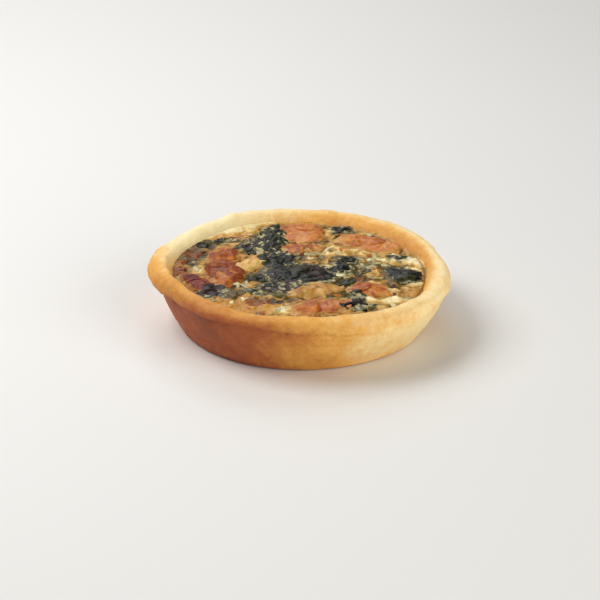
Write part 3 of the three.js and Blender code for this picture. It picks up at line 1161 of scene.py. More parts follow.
    def _mark(self, form: Form) -> None:
        """Works out where the case is browned, painted darker as shade, creamy and crumbly.

        It is painted darker, as shade, in the crease under the lip, in the cracks and in the pock,
        and creamy inside the rim at the left back.

        Args:
            form: the case, which gets the masks.
        """
        p, noise, station, angle = form.points, self.noise, self.station, self.angle
        rings = np.array([ring.at(angle) for ring in BROWNING])
        stations = np.array([ring.station for ring in BROWNING])
        after = np.clip(np.searchsorted(stations, station), 1, len(BROWNING) - 1)
        share = (station - stations[after - 1]) / (stations[after] - stations[after - 1])
        every = np.arange(len(p))
        tone = (1 - share) * rings[after - 1, every] + share * rings[after, every]
        tone += 0.10 * noise.rough(p + 90, 16, 2) + 0.06 * noise.rough(p + 20, 5)
        form.masks["tone"] = tone
        crease = bell(station - Station.NECK, 0.3, 0.8)
        # Painted shade in the crease under the overhanging lip, in the cracks and in the pock.
        form.masks["scorch"] = (
            0.55 * crease * total_hill(SHADED_CREASE, angle) * (0.6 + noise.at(p + 10, 4))
            + 0.4 * self.crack * (station < Station.CREST)
            + 1.3 * sum(dent.at(p) for dent in POCK)
        )
        form.masks["cream"] = (
            0.9 * total_hill(PALE_RIM, angle) * smooth_step(station, 13, 16.5)
            + 0.2 * noise.rough(p + 70, 7)
        )
        form.masks["crumb"] = 0.1 + 0.35 * noise.rough(p + 33, 3.5)

    def build(self) -> bpy.types.Object:
        """Builds the case in place of its CAD solid."""
        piece = self.form().piece("pastry_shell", SHORTCRUST.material(), Slot.PASTRY)
        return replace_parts(piece, self.node)


# ---------------- the top of the filling


class Relief:
    """The heights of what lies on the quiche's top, over a square grid, in millimetres."""

    REACH = 53.0  # how far the grid goes from the middle
    STEP = 0.25  # between its lines

    def __init__(self) -> None:
        """Starts with nothing laid down."""
        self.lines = np.arange(-self.REACH, self.REACH + self.STEP / 2, self.STEP)
        size = len(self.lines)
        self.height = np.zeros((size, size))
        self.cover = {food: np.zeros((size, size)) for food in Food}

    def grid(self) -> tuple[Array, Array]:
        """The X and Y of every place on the grid."""
        x, y = np.meshgrid(self.lines, self.lines, indexing="ij")
        return x, y

    def lay_down(self, form: Form, food: Food) -> None:
        """Notes the height of a topping, looking straight down on it.

        Args:
            form: the topping's shape.
            food: what it is.
        """
        tree = BVHTree.FromPolygons(form.points.tolist(), form.faces)
        low, high = form.points.min(axis=0), form.points.max(axis=0)
        within = [np.flatnonzero((self.lines > low[k]) & (self.lines < high[k])) for k in (0, 1)]
        for i, j in itertools.product(*within):
            start = Vector((self.lines[i], self.lines[j], high[2] + 1))
            hit = tree.ray_cast(start, Vector((0, 0, -1)))[0]
            if hit is not None and hit.z > self.height[i, j]:
                self.height[i, j] = hit.z
                self.cover[food][i, j] = 1

    def sample(self, values: Array, x: Array, y: Array) -> Array:
        """Reads numbers that lie on the grid, between its lines too.

        Args:
            values: the numbers on the grid.
            x: places to read them at.
            y: places to read them at.

        Returns:
            The number at each place.
        """
        top = len(self.lines) - 1.001
        across = np.clip((x + self.REACH) / self.STEP, 0, top)
        back = np.clip((y + self.REACH) / self.STEP, 0, top)
        i, j = across.astype(int), back.astype(int)
        u, v = across - i, back - j
        near = values[i, j] * (1 - v) + values[i, j + 1] * v
        far = values[i + 1, j] * (1 - v) + values[i + 1, j + 1] * v
        return near * (1 - u) + far * u

    def spread(self, values: Array, reach: float) -> Array:
        """Numbers on the grid, blurred.

        Args:
            values: the numbers on the grid.
            reach: how far the blur reaches, in millimetres.

        Returns:
            The blurred numbers.
        """
        waves = 2 * np.pi * np.fft.fftfreq(len(self.lines), self.STEP)
        fall = np.exp(-0.5 * (waves * reach) ** 2)
        return np.real(np.fft.ifft2(np.fft.fft2(values) * fall[:, None] * fall))


# ---------------- toppings


@dataclass
class Topping:
    """One flake or clump, made fine from its CAD solid. Lengths are in millimetres."""

    name: str
    node: str  # the CAD solid
    seed: int
    growth: tuple[float, float] = (1.12, 1.12)  # its width in X and Y beside the solid's
    shift: tuple[float, float] = (0, 0)  # how far to the right and the back of the solid it is
    drop: float = 0.0  # and how far below it
    uneven: float = 1.3  # how far its outline wanders
    edged: float = 0.6  # how much custard clings along its edge
    voxel: float = 0.33  # between the points of its mesh
    rounds: int = 5  # how often its corners are smoothed
    noise: Noise = field(init=False)
    plain: Form = field(init=False)  # its rounded shape, without any detail
    middle: Array = field(init=False)
    along: Array = field(init=False)  # the way that it is longest, from above

    def __post_init__(self) -> None:
        """Makes the topping's rounded shape and finds its own directions."""
        self.noise = Noise(self.seed)
        self.plain = rounded_copy(frame["nodes"][self.node], self.voxel, self.rounds)
        p = self.plain.points
        start = (p.min(axis=0) + p.max(axis=0)) / 2
        flat = p * (1, 1, 0.4)
        warp = [self.noise.rough(flat + far, 6.5, 2) for far in (11, 71)]
        for axis in (0, 1):
            spread = (p[:, axis] - start[axis]) * self.growth[axis] + self.shift[axis]
            self.plain.points[:, axis] = start[axis] + spread + self.uneven * warp[axis]
        self.plain.points[:, 2] -= self.drop
        self.middle = (self.plain.points.min(axis=0) + self.plain.points.max(axis=0)) / 2
        flat = (self.plain.points - self.middle)[:, :2]
        spread, directions = np.linalg.eigh(flat.T @ flat)
        self.along = directions[:, np.argmax(spread)]
        if self.along[0] < 0:
            self.along = -self.along

    def own(self, points: Array) -> Array:
        """Places in the topping's own directions.

        Args:
            points: places in the model's frame.

        Returns:
            How far along, across and above the topping each lies, from its middle.
        """
        away = points - self.middle
        across = np.array([-self.along[1], self.along[0]])
        return np.column_stack([away[:, :2] @ self.along, away[:, :2] @ across, away[:, 2]])

    def laid(self, along: Array, across: Array, heading: Array) -> Array:
        """Places for loose pieces that lie on the topping.

        Args:
            along: how far along the topping each lies, from its middle.
            across: how far across it.
            heading: the way that it points, in radians.

        Returns:
            An X, a Y and a heading for each.
        """
        x = self.middle[0] + along * self.along[0] - across * self.along[1]
        y = self.middle[1] + along * self.along[1] + across * self.along[0]
        return np.column_stack([x, y, heading])

    def shape(self) -> Form:
        """The topping's shape before the custard is poured round it."""
        raise NotImplementedError

    def film(self, form: Form, custard: "Custard", reach: float) -> Array:
        """How far up the topping the custard clings.

        Args:
            form: the topping's shape.
            custard: the custard it is sunk in.
            reach: how far above the custard the film ends, in millimetres.

        Returns:
            A share from 0 to 1 for each point.
        """
        p = form.points
        above = p[:, 2] - custard.height_at(p[:, 0], p[:, 1])
        uneven = 1 + 0.8 * self.noise.rough(p + 40, 2.6)
        inside = custard.relief.sample(custard.touch, p[:, 0], p[:, 1])
        edge = smooth_step(inside, 0.97, 0.6) * self.edged
        return np.maximum(smooth_step(above, reach * uneven, 0.1), edge)


@dataclass
class SalmonFlake(Topping):
    """A flake of cooked salmon: plates of muscle that overlap like tiles."""

    finish: Finish = COOKED_SALMON
    slot: Slot = Slot.SALMON
    plate: float = 2.9  # from one plate of muscle to the next
    bow: float = 0.65  # how far the plates bend back at its sides, counted in plates
    step: float = 0.12  # how high a plate's edge stands over the next
    fall: float = 0.16  # the share of a plate over which that edge falls
    browned: float = 0.3
    bright: float = 0.5
    pink: float = 0.25
    coated: float = 0.8  # how thick the film of custard on it is
    shards: int = 2  # the loose pieces that lie on it

    def shape(self) -> Form:
        """The flake with its plates, fibres and torn edge.

        Returns:
            Its form, with masks for the painted shade in the grooves between the plates and for the climb
            over each plate.
        """
        form = Form(self.plain.points.copy(), self.plain.faces)
        own = self.own(form.points)
        half = np.abs(own[:, 1]).max()
        up = smooth_step(self.plain.normals()[:, 2], -0.2, 0.6)
        wander = 0.5 * self.noise.rough(own, 6, 2) + 0.16 * self.noise.at(own, 1.8)
        phase = own[:, 0] / self.plate + self.bow * (own[:, 1] / half) ** 2 + wander
        share = phase - np.floor(phase)
        rise = 1 - self.fall
        climb = np.where(share < rise, (share / rise) ** 1.4, (1 - share) / self.fall)
        torn = self.noise.rough(own, 3.0, 2)
        side = 1 - np.abs(self.plain.normals()[:, 2])
        form.push(
            up * self.step * (climb - 0.45)
            + 0.35 * up * self.noise.rough(own + 9, 6, 2)  # the swell of the whole flake
            + 0.45 * side * torn
            + 0.05 * up * self.noise.ridged(own, 1.2, 2, (5, 1, 1))  # its fibres
        )
        # Painted shade in the groove where each plate's raised edge drops to the next.
        gaps = smooth_step(self.noise.at(own + 31, 5), -0.2, 0.4)
        form.masks["seam"] = up * gaps * bell(share, 0.97, 0.06)
        form.masks["climb"] = climb * up
        return form

    def places(self, draw: Draw) -> Array:
        """Where the flake's loose shards lie: along it, one over the end of the last.

        Args:
            draw: the random numbers.

        Returns:
            A middle and a heading, in radians, for each shard.
        """
        size = np.abs(self.own(self.plain.points)).max(axis=0)
        share = np.linspace(-0.62, 0.62, self.shards) + draw.uniform(-0.1, 0.1, self.shards)
        along = size[0] * share
        across = size[1] * draw.uniform(-0.45, 0.45, self.shards)
        heading = math.atan2(self.along[1], self.along[0]) + draw.uniform(-0.5, 0.5, self.shards)
        return self.laid(along, across, heading)

    def build(self, form: Form, custard: "Custard", relief: Relief) -> bpy.types.Object:
        """Finishes the flake and lays its loose shards over it.

        Args:
            form: its shape.
            custard: the custard it is sunk in.
            relief: the heights of everything on the top.

        Returns:
            The piece that stands for its CAD solid.
        """
        own = self.own(form.points)
        climb = form.masks.pop("climb")
        edge = np.abs(own[:, 1]) / np.abs(own[:, 1]).max()
        patchy = self.noise.rough(own + 25, 5, 2)
        form.masks["tone"] = self.bright + 0.2 * (climb - 0.5) + 0.35 * patchy - 0.15 * edge
        form.masks["browned"] = self.browned + 0.2 * edge + 0.6 * patchy + 0.1 * climb
        form.masks["pink"] = self.pink + 0.5 * self.noise.rough(own + 85, 6, 2)
        form.masks["film"] = self.coated * self.film(form, custard, 0.6)
        draw = np.random.default_rng(self.seed)
        forms = [form]
        for number, place in enumerate(self.places(draw)):
            shard = SHARDS.drape(relief, place[None], draw, number + self.seed)
            relief.lay_down(shard, Food.SALMON)
            away = self.noise.rough(self.own(shard.points) + 25, 4, 2)
            shade = 0.6 * (shard.masks["tone"] - 0.5)
            shard.masks["tone"] = self.bright + shade + 0.25 * away
            shard.masks["pink"] = self.pink + 0.5 * self.noise.rough(shard.points + 85, 6, 2)
            shard.masks["browned"] = np.full_like(away, self.browned + draw.uniform(-0.3, 0.15))
            shard.masks["browned"] += 0.6 * away + 0.25 * shard.masks.pop("edge") ** 3
            shard.masks["seam"] = np.zeros_like(away)
            shard.masks["film"] = self.coated * self.film(shard, custard, 0.6)
            forms.append(shard)
        whole = joined(forms)
        own = self.own(whole.points)
        piece = whole.piece(self.name, self.finish.material(), self.slot, own)
        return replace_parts(piece, self.node)


@dataclass
class SpinachClump(Topping):
    """A clump of wilted spinach: a leaf crumpled into ridges, with loose folds lying on it."""

    dried: float = 0.25  # how much of it has gone purple-brown
    bright: float = 0.4
    coated: float = 0.8  # how thick the film of custard on it is
    flecks: float = 0.5  # and how much of it has gathered in the hollows
    folds: int = 4  # the loose folds that lie on it
    wide: bool = False  # whether they are wide and smooth

    def shape(self) -> Form:
        """The clump with its crumples and ragged edge.

        Returns:
            Its form, with a mask for how high each point is on its fold.
        """
        form = Form(self.plain.points.copy(), self.plain.faces)
        p = self.own(form.points)
        bent = p + 0.9 * self.noise.three(p, 3.5, (3, 13, 23))
        normals = self.plain.normals()
        up = smooth_step(normals[:, 2], -0.3, 0.5)
        fold = self.noise.ridged(bent, 5.5, 2, (1.4, 1, 1))
        smooth = 0.6 if self.wide else 1.0
        form.push(
            up * (0.9 * smooth * fold - 0.65)  # its large folds, sunk as much as they rise
            + 0.18 * smooth * up * self.noise.ridged(bent + 7, 2.0, 2)  # its wrinkles
            + 0.9 * (1 - np.abs(normals[:, 2])) * self.noise.rough(p + 5, 2.4)  # its ragged edge
        )
        form.masks["fold"] = fold
        return form

    def places(self, draw: Draw) -> Array:
        """Where the clump's loose folds lie.

        Args:
            draw: the random numbers.

        Returns:
            A middle and a heading, in radians, for each fold.
        """
        size = np.abs(self.own(self.plain.points)).max(axis=0)
        turn = draw.uniform(0, 2 * np.pi, self.folds)
        out = (0.45 if self.wide else 0.78) * np.sqrt(draw.uniform(0, 1, self.folds))
        along, across = size[0] * out * np.cos(turn), size[1] * out * np.sin(turn)
        return self.laid(along, across, draw.uniform(0, 2 * np.pi, self.folds))

    def build(self, form: Form, custard: "Custard", relief: Relief) -> bpy.types.Object:
        """Finishes the clump and lays its loose folds over it.

        Args:
            form: its crumpled shape.
            custard: the custard it is sunk in.
            relief: the heights of everything on the top.

        Returns:
            The piece that stands for its CAD solid.
        """
        own = self.own(form.points)
        fold = form.masks.pop("fold")
        form.masks["tone"] = self.bright + 0.45 * (fold - 0.5) + 0.35 * self.noise.rough(own, 5, 2)
        form.masks["dried"] = self.dried + 0.5 * self.noise.rough(own + 44, 6, 2)
        hollow = smooth_step(fold + 0.6 * self.noise.rough(own + 70, 1.8, 2), 0.3, 0.0)
        form.masks["film"] = self.coated * self.film(form, custard, 0.6) + self.flecks * hollow
        draw = np.random.default_rng(self.seed)
        forms = [form]
        leaves = WIDE_FOLDS if self.wide else LOOSE_FOLDS
        for number, place in enumerate(self.places(draw)):
            leaf = leaves.drape(relief, place[None], draw, number + self.seed)
            relief.lay_down(leaf, Food.SPINACH)
            leaf.masks.pop("edge")
            leaf.masks["tone"] += self.bright - 0.5
            leaf.masks["dried"] = self.dried + 0.5 * self.noise.rough(leaf.points + 44, 6, 2)
            speckle = smooth_step(self.noise.rough(leaf.points + 70, 1.8, 2), 0.25, 0.6)
            leaf.masks["film"] = 0.5 * self.film(leaf, custard, 0.4) + self.flecks * speckle
            forms.append(leaf)
        whole = joined(forms)
        piece = whole.piece(self.name, WILTED_SPINACH.material(), Slot.SPINACH, whole.points)
        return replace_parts(piece, self.node)


# ---------------- custard


@dataclass
class Custard:
    """The set custard, with a lumpy top that climbs a little where it meets anything.

    Its sizes are in millimetres, and its patches say where its top is coloured or curdled.
    """

    case: PastryCase
    relief: Relief
    node: str = "custard"
    cell: float = 0.36  # between the points of its top
    dome: float = 0.8  # how much higher its middle is than its edge
    tuck: float = 1.0  # how far its edge reaches into the pastry
    depth: float = 4.0  # how far down from its edge it is drawn, since only its top shows
    shrunk_at: float = 345  # the angle round the case where it has shrunk from the pastry
    creamy_at: float = 122  # and the one where it is creamy and creeps up it
    seed: int = 41
    herb: tuple[Patch, ...] = ()
    toasted: tuple[Patch, ...] = ()
    gold: tuple[Patch, ...] = ()
    curd: tuple[Patch, ...] = ()
    cream: tuple[Patch, ...] = ()
    noise: Noise = field(init=False)
    touch: Array = field(init=False)  # 1 on the toppings and less beside them
    near: dict[Food, Array] = field(init=False)  # and the same for each food, over a wider reach

    def __post_init__(self) -> None:
        """Finds how near every place is to the toppings, which the custard climbs."""
        self.noise = Noise(self.seed)
        cover = self.relief.cover
        every = np.maximum(cover[Food.SALMON], cover[Food.SPINACH])
        self.touch = self.relief.spread(every, 0.8)
        self.near = {food: self.relief.spread(cover[food], 2.2) for food in Food}

    def height_at(self, x: Array, y: Array) -> Array:
        """The height of the custard's top.

        Args:
            x: how far to the right the places are.
            y: how far to the back they are.

        Returns:
            The height at each place, in millimetres.
        """
        shape = np.shape(x)
        x, y = np.ravel(x), np.ravel(y)
        away, degrees = self.case.polar(x, y)
        inner = self.case.inner_radius(degrees)
        share = away / inner
        flat = np.column_stack([x, y, np.zeros_like(x)])
        bent = flat + 0.8 * self.noise.three(flat, 3, (0, 40, 80))
        open_top = smooth_step(inner - away, 0.3, 3)
        lumps = (
            0.5 * self.noise.rough(flat, 9, 2)  # slow swells
            + 0.9 * self.noise.ridged(bent, 5, 2, (1.25, 1, 1))  # the ridges of the curdled top
            + 0.3 * self.noise.rough(bent + 60, 2.2, 2)  # small lumps
            - 0.55  # which brings their average back to nothing
        )
        touch = smooth_step(self.relief.sample(self.touch, x, y), 0.08, 0.6)
        uneven = 1 + 0.9 * self.noise.at(flat + 20, 4)
        climb = 0.3 * touch * uneven
        rim = inner - away
        creep = Hill(self.creamy_at, 24, 0.6).at(degrees) * np.exp(-np.maximum(rim, 0) / 1.8)
        creep += 0.35 * np.exp(-np.maximum(rim, 0) / 0.7)
        shrunk = Hill(self.shrunk_at, 38, 0.55).at(degrees) * bell(rim, 0.45, 0.55)
        height = self.case.fill_height + self.dome * (1 - share**2)
        height = height + lumps * (0.25 + 0.75 * open_top) * (1 - 0.6 * touch)
        height = height + climb + creep - shrunk
        return height.reshape(shape)

    def form(self) -> Form:
        """The custard's shape, with the masks for its finish.

        Returns:
            A closed form that reaches just into the pastry all round.
        """
        reach = math.ceil(self.relief.REACH / self.cell)
        lines = np.arange(-reach, reach + 1) * self.cell
        x, y = np.meshgrid(lines, lines, indexing="ij")
        away, degrees = self.case.polar(x, y)
        within = away < self.case.inner_radius(degrees) + self.tuck
        number = np.full(x.shape, -1)
        cells = within[:-1, :-1] & within[1:, :-1] & within[1:, 1:] & within[:-1, 1:]
        i, j = np.nonzero(cells)
        corners = [(i, j), (i + 1, j), (i + 1, j + 1), (i, j + 1)]
        used = np.zeros_like(within)
        for corner in corners:
            used[corner] = True
        number[used] = np.arange(used.sum())
        quads = np.column_stack([number[corner] for corner in corners])
        top = np.column_stack([x[used], y[used], self.height_at(x[used], y[used])])
        sides = np.concatenate([quads[:, [k, (k + 1) % 4]] for k in range(4)])
        paired = {tuple(side) for side in sides.tolist()}
        rim = sorted(side for side in paired if (side[1], side[0]) not in paired)
        low = self.case.fill_height - self.depth
        beneath = {a: len(top) + k for k, (a, _) in enumerate(rim)}
        skirt = np.column_stack([top[[a for a, _ in rim], :2], np.full(len(rim), low)])
        foot = len(top) + len(rim)
        faces = quads.tolist() + [[b, a, beneath[a], beneath[b]] for a, b in rim]
        faces += [[beneath[b], beneath[a], foot] for a, b in rim]
        form = Form(np.vstack([top, skirt, [[*self.case.middle, low]]]), faces)
        self._mark(form)
        return form

    def _mark(self, form: Form) -> None:
        """Works out where the custard is creamy, toasted, green, curdled or stained.

        Herb gathers near the spinach and a blush near the salmon. Cream lies under the pale rim
        at the left back, toast along the rim at the left front, and at the right, where the custard has
        pulled away from the pastry, the gap is painted darker as shade.

        Args:
            form: the custard, which gets the masks.
        """
        p = form.points
        x, y = p[:, 0], p[:, 1]
        flat = p * (1, 1, 0)
        noise = self.noise
        spinach = self.relief.sample(self.near[Food.SPINACH], x, y)
        salmon = self.relief.sample(self.near[Food.SALMON], x, y)
        away, degrees = self.case.polar(x, y)
        rim = self.case.inner_radius(degrees) - away
        relief = p[:, 2] - self.case.fill_height - self.dome * (1 - (away / 50) ** 2)
        bent = flat + 1.2 * noise.three(flat, 5, (7, 47, 87))
        cream = total_of(self.cream, x, y) + 0.4 * Hill(116, 19, 1).at(degrees) * smooth_step(
            rim, 6, 1
        ) * (1 + noise.rough(bent + 80, 3, 2))
        strands = noise.ridged(bent + 17, 6, 2, (1.6, 1, 1)) ** 2
        form.masks["tone"] = (
            0.4
            + 0.45 * relief
            + 0.5 * noise.rough(bent + 5, 6, 3, (1.2, 1, 1))
            + 0.42 * np.clip(cream, -0.6, 1.2)
        )
        form.masks["herb"] = (
            0.12
            + 0.5 * smooth_step(spinach, 0.05, 0.5)
            + total_of(self.herb, x, y)
            + 0.55 * noise.rough(bent + 15, 5, 3, (1.2, 1, 1))
            + 0.25 * strands
            - 0.5 * np.minimum(total_of(self.gold, x, y), 1)
            - 0.2 * salmon
            - 0.45 * np.minimum(cream, 1)
        )
        baked_edge = smooth_step(rim, 2.5, 0.3) * (1 - Hill(self.creamy_at, 30, 1).at(degrees))
        form.masks["toasted"] = (
            total_of(self.toasted, x, y)
            + 0.6 * noise.rough(bent + 30, 5, 3)
            + 0.5 * baked_edge * Hill(215, 70, 1).at(degrees)
            - 0.3 * cream
        )
        form.masks["gold"] = (
            0.3
            + total_of(self.gold, x, y)
            + 0.4 * baked_edge
            + 0.7 * noise.rough(bent + 45, 7, 2)
            - 0.5 * np.minimum(cream, 1)
        )
        form.masks["blush"] = 0.75 * smooth_step(salmon, 0.08, 0.55)
        form.masks["curd"] = (
            total_of(self.curd, x, y) + 0.6 * noise.rough(bent + 61, 3.4, 3) + 0.3 * relief
        )
        # Painted shade in the gap where the custard has pulled away from the pastry at the right.
        form.masks["shrunk"] = Hill(self.shrunk_at, 40, 1.2).at(degrees) * bell(rim, 0.45, 0.5)

    def build(self) -> bpy.types.Object:
        """Builds the custard in place of its CAD solid, and adds its height to the relief.

        Returns:
            The custard's piece.
        """
        x, y = self.relief.grid()
        self.relief.height = np.maximum(self.relief.height, self.height_at(x, y))
        piece = self.form().piece("custard_filling", EGG_CUSTARD.material(), Slot.CUSTARD)
        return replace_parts(piece, self.node)


# ---------------- small pieces


def each(draw: Draw, count: int, low: float, high: float) -> Array:
    """A random number between two others for each piece of several."""
    return draw.uniform(low, high, count)[:, None, None]


@dataclass(frozen=True)
class Scrap:
    """One kind of small flat piece, which bends to what it is laid over. Lengths are in mm."""

    length: tuple[float, float]  # the shortest and the longest
    width: tuple[float, float]
    thickness: float
    seed: int
    bend: float = 0.6  # how far its line curves at each end, in radians
    pointed: float = 0.5  # 0 for square ends, higher for longer points
    ragged: float = 0.15  # how uneven its edge is, as a share of its width
    curl: float = 0.3  # how far its edge lifts
    stiff: float = 0.6  # 0 to follow what is under it closely, 1 to lie over the hollows
    sink: float = 0.12  # how deep it is pressed in
    tilt: float = 0.0  # how much higher one end lies
    crumple: float = 0.0  # how high the folds across it are
    level: float = 9.0  # it isn't laid where the ground under it rises by more than this
    bright: float = 0.5
    lines: int = 12  # points along it
    rows: int = 6  # and across it

    def drape(self, relief: Relief, places: Array, draw: Draw, first: int = 0) -> Form:
        """Lays a piece down at each place, bent to what lies under it.

        Args:
            relief: the heights of what lies under the pieces.
            places: an X, a Y and a heading for each piece.
            draw: the random numbers.
            first: the first piece's number, which its torn edge follows.

        Returns:
            All the pieces as one form of closed shells.
        """
        x, y, key = self._plan(places, draw, first)
        count = len(places)
        rest = relief.sample(relief.height, x, y)
        level = np.flatnonzero(np.ptp(rest.reshape(count, -1), axis=1) < self.level)
        if len(level) < count:
            return self.drape(relief, places[level], draw, first)
        soft = relief.sample(relief.spread(relief.height, 0.9), x, y)
        lay = np.maximum(rest, soft * self.stiff + rest * (1 - self.stiff))
        ground = np.stack([x, y, rest, lay], axis=-1)
        top, low = self._sides(ground, key, draw)
        upper = np.stack([x, y, top], axis=-1)
        lower = np.stack([x, y, low], axis=-1)[:, 1:-1, 1:-1]
        faces, kept = self._shell_faces(count)
        sheets = [upper.reshape(count, -1, 3), lower.reshape(count, -1, 3)]
        points = np.concatenate(sheets, axis=1)[:, kept]
        tones = np.repeat(self.bright + draw.uniform(-0.3, 0.3, count), points.shape[1])
        form = Form(points.reshape(-1, 3), faces)
        noise = Noise(self.seed)
        form.masks["tone"] = tones + 0.2 * noise.at(form.points, 1.5)
        form.masks["film"] = 0.1 + 0.45 * noise.rough(form.points, 3, 2)
        edge = self._edge(key)
        rims = [rim.reshape(count, -1) for rim in (edge, edge[:, 1:-1, 1:-1])]
        form.masks["edge"] = np.concatenate(rims, axis=1)[:, kept].ravel()
        return form

    def _plan(self, places: Array, draw: Draw, first: int) -> tuple[Array, Array, Array]:
        """The pieces seen from above, bent, and torn along their edges.

        Args:
            places: an X, a Y and a heading for each piece.
            draw: the random numbers.
            first: the first piece's number, which its torn edge follows.

        Returns:
            The X and the Y of each piece's points, and their keys: how far each is along its
            piece and across it, both from -1 to 1, and a number for the piece.
        """
        count = len(places)
        u = np.linspace(-1, 1, self.lines)[None, :, None]
        v = np.linspace(-1, 1, self.rows)[None, None, :]
        length, width = each(draw, count, *self.length), each(draw, count, *self.width)
        bend = each(draw, count, -self.bend, self.bend)
        heading = places[:, 2][:, None, None] + bend * u
        stride = np.concatenate([np.cos(heading), np.sin(heading)], axis=2) * length / 2
        stride = stride * (2 / (self.lines - 1))
        line = np.cumsum(stride, axis=1)
        line = line - line[:, self.lines // 2 : self.lines // 2 + 1]
        number = (first + np.arange(count))[:, None, None] * 7.7
        grid = [np.broadcast_to(a, (count, self.lines, self.rows)) for a in (u, v, number)]
        key = np.stack(grid, axis=-1)
        torn = Noise(self.seed).rough(key.reshape(-1, 3) * (2.2, 0.9, 1), 1, 3)
        torn = torn.reshape(count, self.lines, self.rows)
        belly = (1 - np.abs(u) ** (1 + 2 / self.pointed)) ** 0.6
        half = width / 2 * belly * (1 + 2.2 * self.ragged * torn * np.abs(v))
        x = places[:, 0][:, None, None] + line[..., :1] - np.sin(heading) * v * half
        y = places[:, 1][:, None, None] + line[..., 1:] + np.cos(heading) * v * half
        return x, y, key

    @staticmethod
    def _edge(key: Array) -> Array:
        """How near its piece's edge each point is, from 0 in the middle to 1 on the edge."""
        return np.maximum(np.abs(key[..., 1]), np.abs(key[..., 0]) ** 3)

    def _sides(self, ground: Array, key: Array, draw: Draw) -> tuple[Array, Array]:
        """The heights of the pieces' upper and lower sides, which curl up at the edge.

        Args:
            ground: the X and the Y of each point, the height of what is under it, and the
                height that the piece rests at.
            key: the points' keys.
            draw: the random numbers.

        Returns:
            The height of the upper side and of the lower side at each point.
        """
        count, edge = len(ground), self._edge(key)
        x, y, rest, lay = np.moveaxis(ground, -1, 0)
        noise = Noise(self.seed)
        ruffle = noise.at(key.reshape(-1, 3) * (3.1, 1.3, 1) + 5, 1).reshape(x.shape)
        lift = self.curl * (edge**2 * (0.5 + each(draw, count, -0.5, 1)) + 0.7 * ruffle * edge)
        dome = self.thickness * each(draw, count, 0.7, 1.3) * np.sqrt(np.maximum(0, 1 - edge**4))
        rise = lay - self.sink + np.maximum(lift, -0.1) + self.tilt * key[..., 0]
        flat = np.stack([x, y, key[..., 2]], axis=-1).reshape(-1, 3)
        folded = noise.ridged(flat, 5.0, 1).reshape(x.shape) - 0.4
        top = rise + dome + self.crumple * folded * (1 - edge**4)
        low = np.minimum(rise - 0.3 * self.thickness, rest - 0.25 + 3 * np.maximum(lift, 0))
        return top, low

    def _shell_faces(self, count: int) -> tuple[Faces, Array]:
        """The faces of the pieces' shells.

        Args:
            count: how many pieces there are.

        Returns:
            The faces, an upper grid and a lower one that shares its edge, each end drawn to one
            point; and which of a piece's points they keep.
        """
        lines, rows = self.lines, self.rows
        upper = np.arange(lines * rows).reshape(lines, rows)
        upper[0], upper[-1] = upper[0, 0], upper[-1, 0]
        lower = upper.copy()
        inner = (lines - 2) * (rows - 2)
        lower[1:-1, 1:-1] = lines * rows + np.arange(inner).reshape(lines - 2, rows - 2)
        sides = []
        for sheet, order in ((upper, (0, 1, 2, 3)), (lower, (3, 2, 1, 0))):
            ring = [sheet[:-1, :-1], sheet[1:, :-1], sheet[1:, 1:], sheet[:-1, 1:]]
            sides.append(np.stack([ring[k] for k in order], axis=-1).reshape(-1, 4))
        kept, one = np.unique(np.concatenate(sides), return_inverse=True)
        one = [
            [corner for k, corner in enumerate(face) if corner != face[k - 1]]
            for face in one.reshape(-1, 4).tolist()
        ]
        shifts = range(0, count * len(kept), len(kept))
        return [[corner + shift for corner in face] for shift in shifts for face in one], kept


@dataclass(frozen=True)
class Scatter:
    """Many scraps of one kind, strewn over the top as one joined piece."""

    name: str
    finish: Finish
    slot: Slot
    count: int
    scrap: Scrap
    plain: float  # the chance of a scrap where no patch is
    patches: tuple[Patch, ...]  # where there are more of them
    on: Mapping[Food, float]  # how much likelier they are on each food
    margin: float = 1.2  # how far from the pastry they stay, in millimetres
    tries: int = 60  # how many places are looked at for each scrap

    def places(self, relief: Relief, custard: Custard, draw: Draw) -> Array:
        """Where the scraps lie: more of them where the patches say.

        Args:
            relief: what is on the top.
            custard: the custard, for the reach of the top.
            draw: the random numbers.

        Returns:
            An X, a Y and a heading, in radians, for each scrap.
        """
        tries = self.tries * self.count
        turn = draw.uniform(0, 2 * np.pi, tries)
        out = np.sqrt(draw.uniform(0, 1, tries))
        edge = custard.case.inner_radius(np.degrees(turn)) - self.margin
        x = custard.case.middle[0] + out * edge * np.cos(turn)
        y = custard.case.middle[1] + out * edge * np.sin(turn)
        chance = self.plain + total_of(self.patches, x, y)
        for food, share in self.on.items():
            chance = chance * (1 + (share - 1) * relief.sample(relief.cover[food], x, y))
        kept = np.flatnonzero(draw.uniform(0, 1, tries) < chance)[: self.count]
        return np.column_stack([x[kept], y[kept], draw.uniform(0, 2 * np.pi, len(kept))])

    def build(self, relief: Relief, custard: Custard) -> bpy.types.Object:
        """Strews the scraps over the top.

        Args:
            relief: the heights of what lies under them.
            custard: the custard, for the reach of the top.

        Returns:
            The joined piece.
        """
        draw = np.random.default_rng(self.scrap.seed)
        places = self.places(relief, custard, draw)
        form = self.scrap.drape(relief, places, draw)
        form.masks.pop("edge")
        LOG.info("%s: %d of them", self.name, len(places))
        return form.piece(self.name, self.finish.material(), self.slot)


